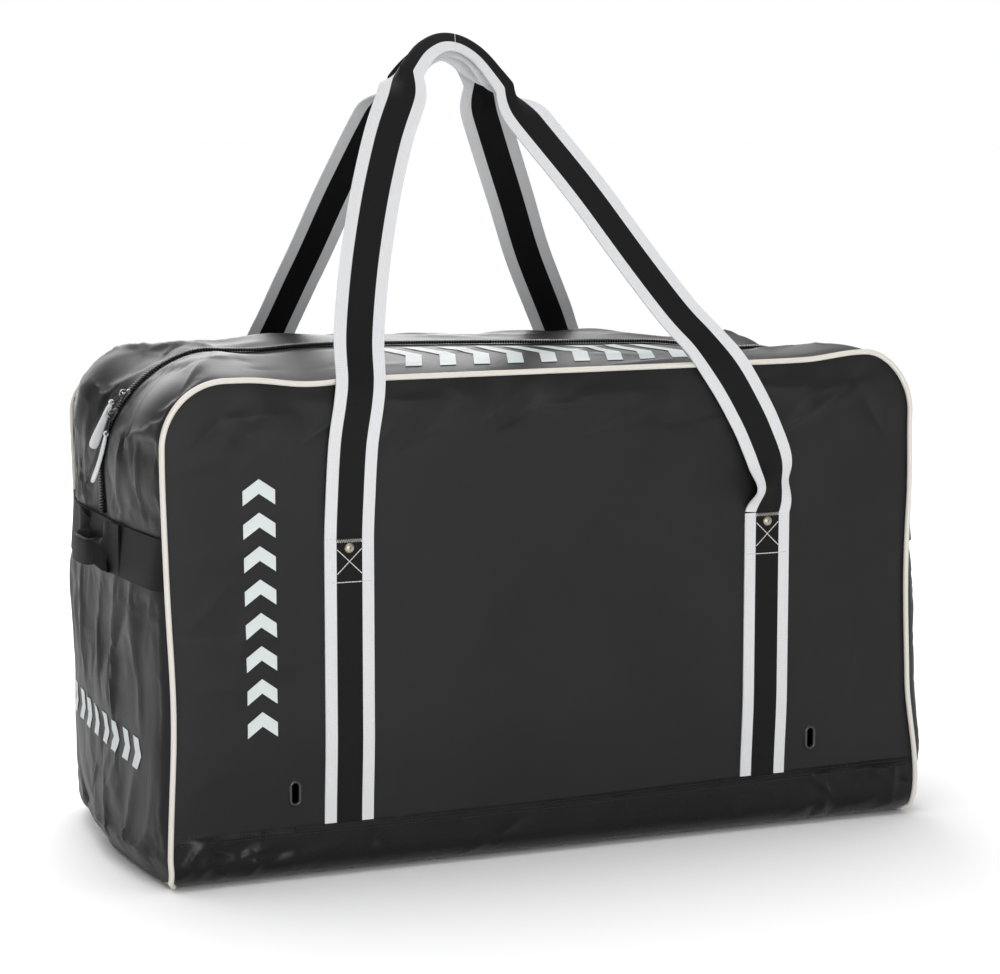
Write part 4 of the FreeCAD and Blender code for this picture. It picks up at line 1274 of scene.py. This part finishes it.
def pull(name, degrees, eye, tip, flat):
    """Wire link and moulded white pull."""
    start = over_arc(degrees, 0.0, 0.006)
    place = axes_between(start, eye)
    length = float(np.linalg.norm(np.subtract(eye, start)))
    half, r = 0.0036, 0.0016
    turn = np.linspace(0, math.pi / 2, 6)
    loop = []
    for cy, cz, phase in (
        (half - r, length - r, 0), (-half + r, length - r, 1), (-half + r, r, 2), (half - r, r, 3),
    ):
        for a in turn + phase * math.pi / 2:
            loop.append((0, cy + r * math.cos(a), cz + r * math.sin(a)))
    link = tube(name + "_link", placed(loop, place), 0.0007, SLIDER, 10, closed=True)
    finish_piece(link, name + "_zip_pull", "slider_paint", name + "_pull_link")
    place = axes_between(eye, tip)
    length = float(np.linalg.norm(np.subtract(tip, eye)))
    share = [0.04, 0.06, 0.12, 0.2, 0.34, 0.5, 0.66, 0.8, 0.9, 0.965, 0.992, 1.0]
    wide = [0.001, 0.002, 0.0027, 0.003, 0.0034, 0.004, 0.0046, 0.0051, 0.005, 0.0041, 0.0026, 0.001]
    thick = [0.0009, 0.0013, 0.0015, 0.0016, 0.0015, 0.0014, 0.0014, 0.0015, 0.0015, 0.0014, 0.0011, 0.0006]
    sides = 20
    angle = circle(sides)
    across = np.sign(np.cos(angle)) * np.abs(np.cos(angle)) ** 0.55
    deep = np.sign(np.sin(angle)) * np.abs(np.sin(angle)) ** 0.55
    verts = []
    for s, w, t in zip(share, wide, thick):
        x, y = w * across, t * deep + 0.0012 * math.sin(math.pi * s)
        if not flat:
            x, y = -y, x
        verts += [(x[j], y[j], s * length) for j in range(sides)]
    faces = ring_faces(len(share), sides, turned=True)
    blade = add_mesh("blade", placed(verts, place), faces, PULL)
    turn = circle(22)
    ring = stacked(0.002 * np.sin(turn), 0, 0.002 * np.cos(turn))
    eyelet = tube("eye", placed(ring, place), 0.001, PULL, 10, closed=True)
    tab = join(name + "_pull", [blade, eyelet])
    finish_piece(tab, name + "_zip_pull", "pull_plastic", name + "_pull_tab")


# ------ generic marks


def chevrons(count, pitch, height, stroke, rise):
    """Outlines of a row of slanted chevrons, as (along, across) loops; no lettering."""
    loops = []
    half = height / 2
    for u in np.arange(count) * pitch:
        loops.append([
            (u, -half), (u + stroke, -half), (u + stroke + rise, 0), (u + stroke, half),
            (u, half), (u + rise, 0),
        ])
    return loops


MARK_LIFT = 0.0005
MARK_DROP = 0.05


def mark(name, loops, place, toward, body, ground):
    """Printed marks dropped onto finished meshes; place maps (along, across) to a nearby point."""
    toward = Vector(toward)
    trees = []
    for obj in ground:
        made = bmesh.new()
        made.from_mesh(obj.data)
        trees.append(BVHTree.FromBMesh(made))
        made.free()
    pieces = []
    for low_left, low_right, tip_right, top_right, top_left, tip_left in loops:
        for a, b, c, d in (
            (low_left, low_right, tip_right, tip_left), (tip_left, tip_right, top_right, top_left),
        ):
            s, t = np.meshgrid(np.linspace(0, 1, 9), np.linspace(0, 1, 13), indexing="ij")
            s, t = s[..., None], t[..., None]
            flat = (
                np.array(a) * (1 - s) * (1 - t) + np.array(b) * s * (1 - t)
                + np.array(c) * s * t + np.array(d) * (1 - s) * t
            )
            points = place(flat[..., 0], flat[..., 1])
            for index in np.ndindex(points.shape[:2]):
                start = Vector(points[index]) - toward * MARK_DROP
                hits = [hit for hit in (tree.ray_cast(start, toward) for tree in trees) if hit[0]]
                points[index] = min(hits, key=lambda hit: hit[3])[0] - toward * MARK_LIFT
            pieces.append(grid("stroke", points, PRINT))
    obj = join(name, pieces)
    weld(obj, 0.00002)
    face_outwards(obj)
    thicken(obj, 0.0002, 1.0)
    finish_piece(obj, body, "shell_fabric")


# ------ build

made = {}
for end_side in (-1, 1):
    made["end", end_side] = end_shell(end_side)
    foot_piping(end_side)
    end_band(end_side)
    corner_zip(end_side)
    for depth in (-1, 1):
        made["top", end_side, depth] = top_quarter(end_side, depth)
        top_zip(end_side, depth)
        sewn_strap(end_side, depth)
        grab_half(end_side, depth)
for depth in (-1, 1):
    made["long", depth] = long_panel(depth)
    piping(depth)
    strap_thread(depth)
    seam_thread(depth)
    rivets(depth)
    eyelets(depth)
base_shell()
carry_handle(-1, FRONT_FEET, FRONT_CREST, [(0.014, 0.086), (0.034, 0.09)], [(0.031, 0.016, 25)])
carry_handle(1, REAR_FEET, REAR_CREST, [(0.014, 0.09), (0.014, 0.1)], [])
for word, (degrees, eye, tip, flat) in SLIDERS.items():
    slider(word, degrees)
    pull(word, degrees, eye, tip, flat)


def on_front(u, v):
    """Place up the left part of the front panel."""
    return panel_point(-1, -0.3145 + v, 0.144 + u, 0.001)


def on_end(u, v):
    """Place across the lower part of the left end, sloping down a little to the front."""
    y = 0.112 - u
    return end_line(-1, y, 0.137 - 0.055 * u + v, 0.001, True)


def on_top(u, v):
    """Place on the front half of the top, beside the zip."""
    return stacked(u - 0.15, v - 0.094, TOP + 0.008)


mark("front_mark", chevrons(8, 0.032, 0.032, 0.014, 0.011), on_front, (0, 1, 0), "bag", [made["long", -1]])
mark("end_mark", chevrons(8, 0.0315, 0.03, 0.015, 0.009), on_end, (1, 0, 0), "bag", [made["end", -1]])
mark(
    "top_mark", chevrons(9, 0.036, 0.105, 0.017, 0.02), on_top, (0, 0, -1), "front_top_flap",
    [made["top", -1, -1], made["top", 1, -1]],
)

# ------ studio


def studio():
    """Pale floor, soft overhead and side light, camera at the catalogue angle."""
    turn = circle(96)
    rim = stacked(30 * np.cos(turn), 30 * np.sin(turn), base_low.z - 0.0005)
    add_mesh("floor", rim, [tuple(range(len(rim)))], FLOOR)
    world = bpy.data.worlds.new("studio")
    bpy.context.scene.world = world
    world.use_nodes = True
    tree = world.node_tree
    direction = tree.nodes.new("ShaderNodeTexCoord").outputs["Generated"]
    parts = node(tree, "SeparateXYZ", Vector=direction)
    strength = node(
        tree, "MapRange", Value=parts.outputs["X"],
        From_Min=-0.5, From_Max=-0.1, To_Min=0.24, To_Max=0.5,
    )
    soft = tree.nodes["Background"]
    feed(tree, soft, Color=(1, 1, 1, 1), Strength=strength.outputs["Result"])
    seen = node(tree, "Background", Color=(1, 1, 1, 1), Strength=1.0)
    ray = tree.nodes.new("ShaderNodeLightPath")
    mix = node(tree, "MixShader", Fac=ray.outputs["Is Camera Ray"])
    tree.links.new(soft.outputs[0], mix.inputs[1])
    tree.links.new(seen.outputs[0], mix.inputs[2])
    feed(tree, tree.nodes["World Output"], Surface=mix.outputs[0])
    sun = bpy.data.lights.new("overhead", "SUN")
    sun.energy = 2.06
    sun.angle = math.radians(70)
    sky = link(bpy.data.objects.new("overhead", sun))
    sky.rotation_euler = (math.radians(-12), math.radians(-8), 0)
    for name, place, size, power, aim_height in (
        ("front_left", (-2.6, -2.4, 1.9), 1.8, 11, 0.3),
        ("low_front", (-0.6, -3.6, 0.7), 1.6, 48, 0.6),
        ("behind", (0.45, 3.2, 1.25), 2.2, 60, 0.5),
    ):
        light = bpy.data.lights.new(name, "AREA")
        light.size = size
        light.energy = power
        obj = link(bpy.data.objects.new(name, light))
        obj.visible_camera = False
        obj.location = place
        obj.rotation_euler = (Vector((0, 0, aim_height)) - Vector(place)).to_track_quat("-Z", "Y").to_euler()
    yaw, elevation, distance, target = math.radians(22.77), math.radians(7.89), 3.122, (0.0108, 0, 0.3439)
    level = math.cos(elevation)
    look = Vector((math.sin(yaw) * level, math.cos(yaw) * level, -math.sin(elevation)))
    lens = bpy.data.cameras.new("camera")
    lens.lens = 107.8
    lens.sensor_width = 36
    camera = link(bpy.data.objects.new("camera", lens))
    camera.location = Vector(target) - look * distance
    camera.rotation_euler = look.to_track_quat("-Z", "Y").to_euler()
    bpy.context.scene.camera = camera
    bpy.context.scene.view_settings.view_transform = "Standard"


studio()
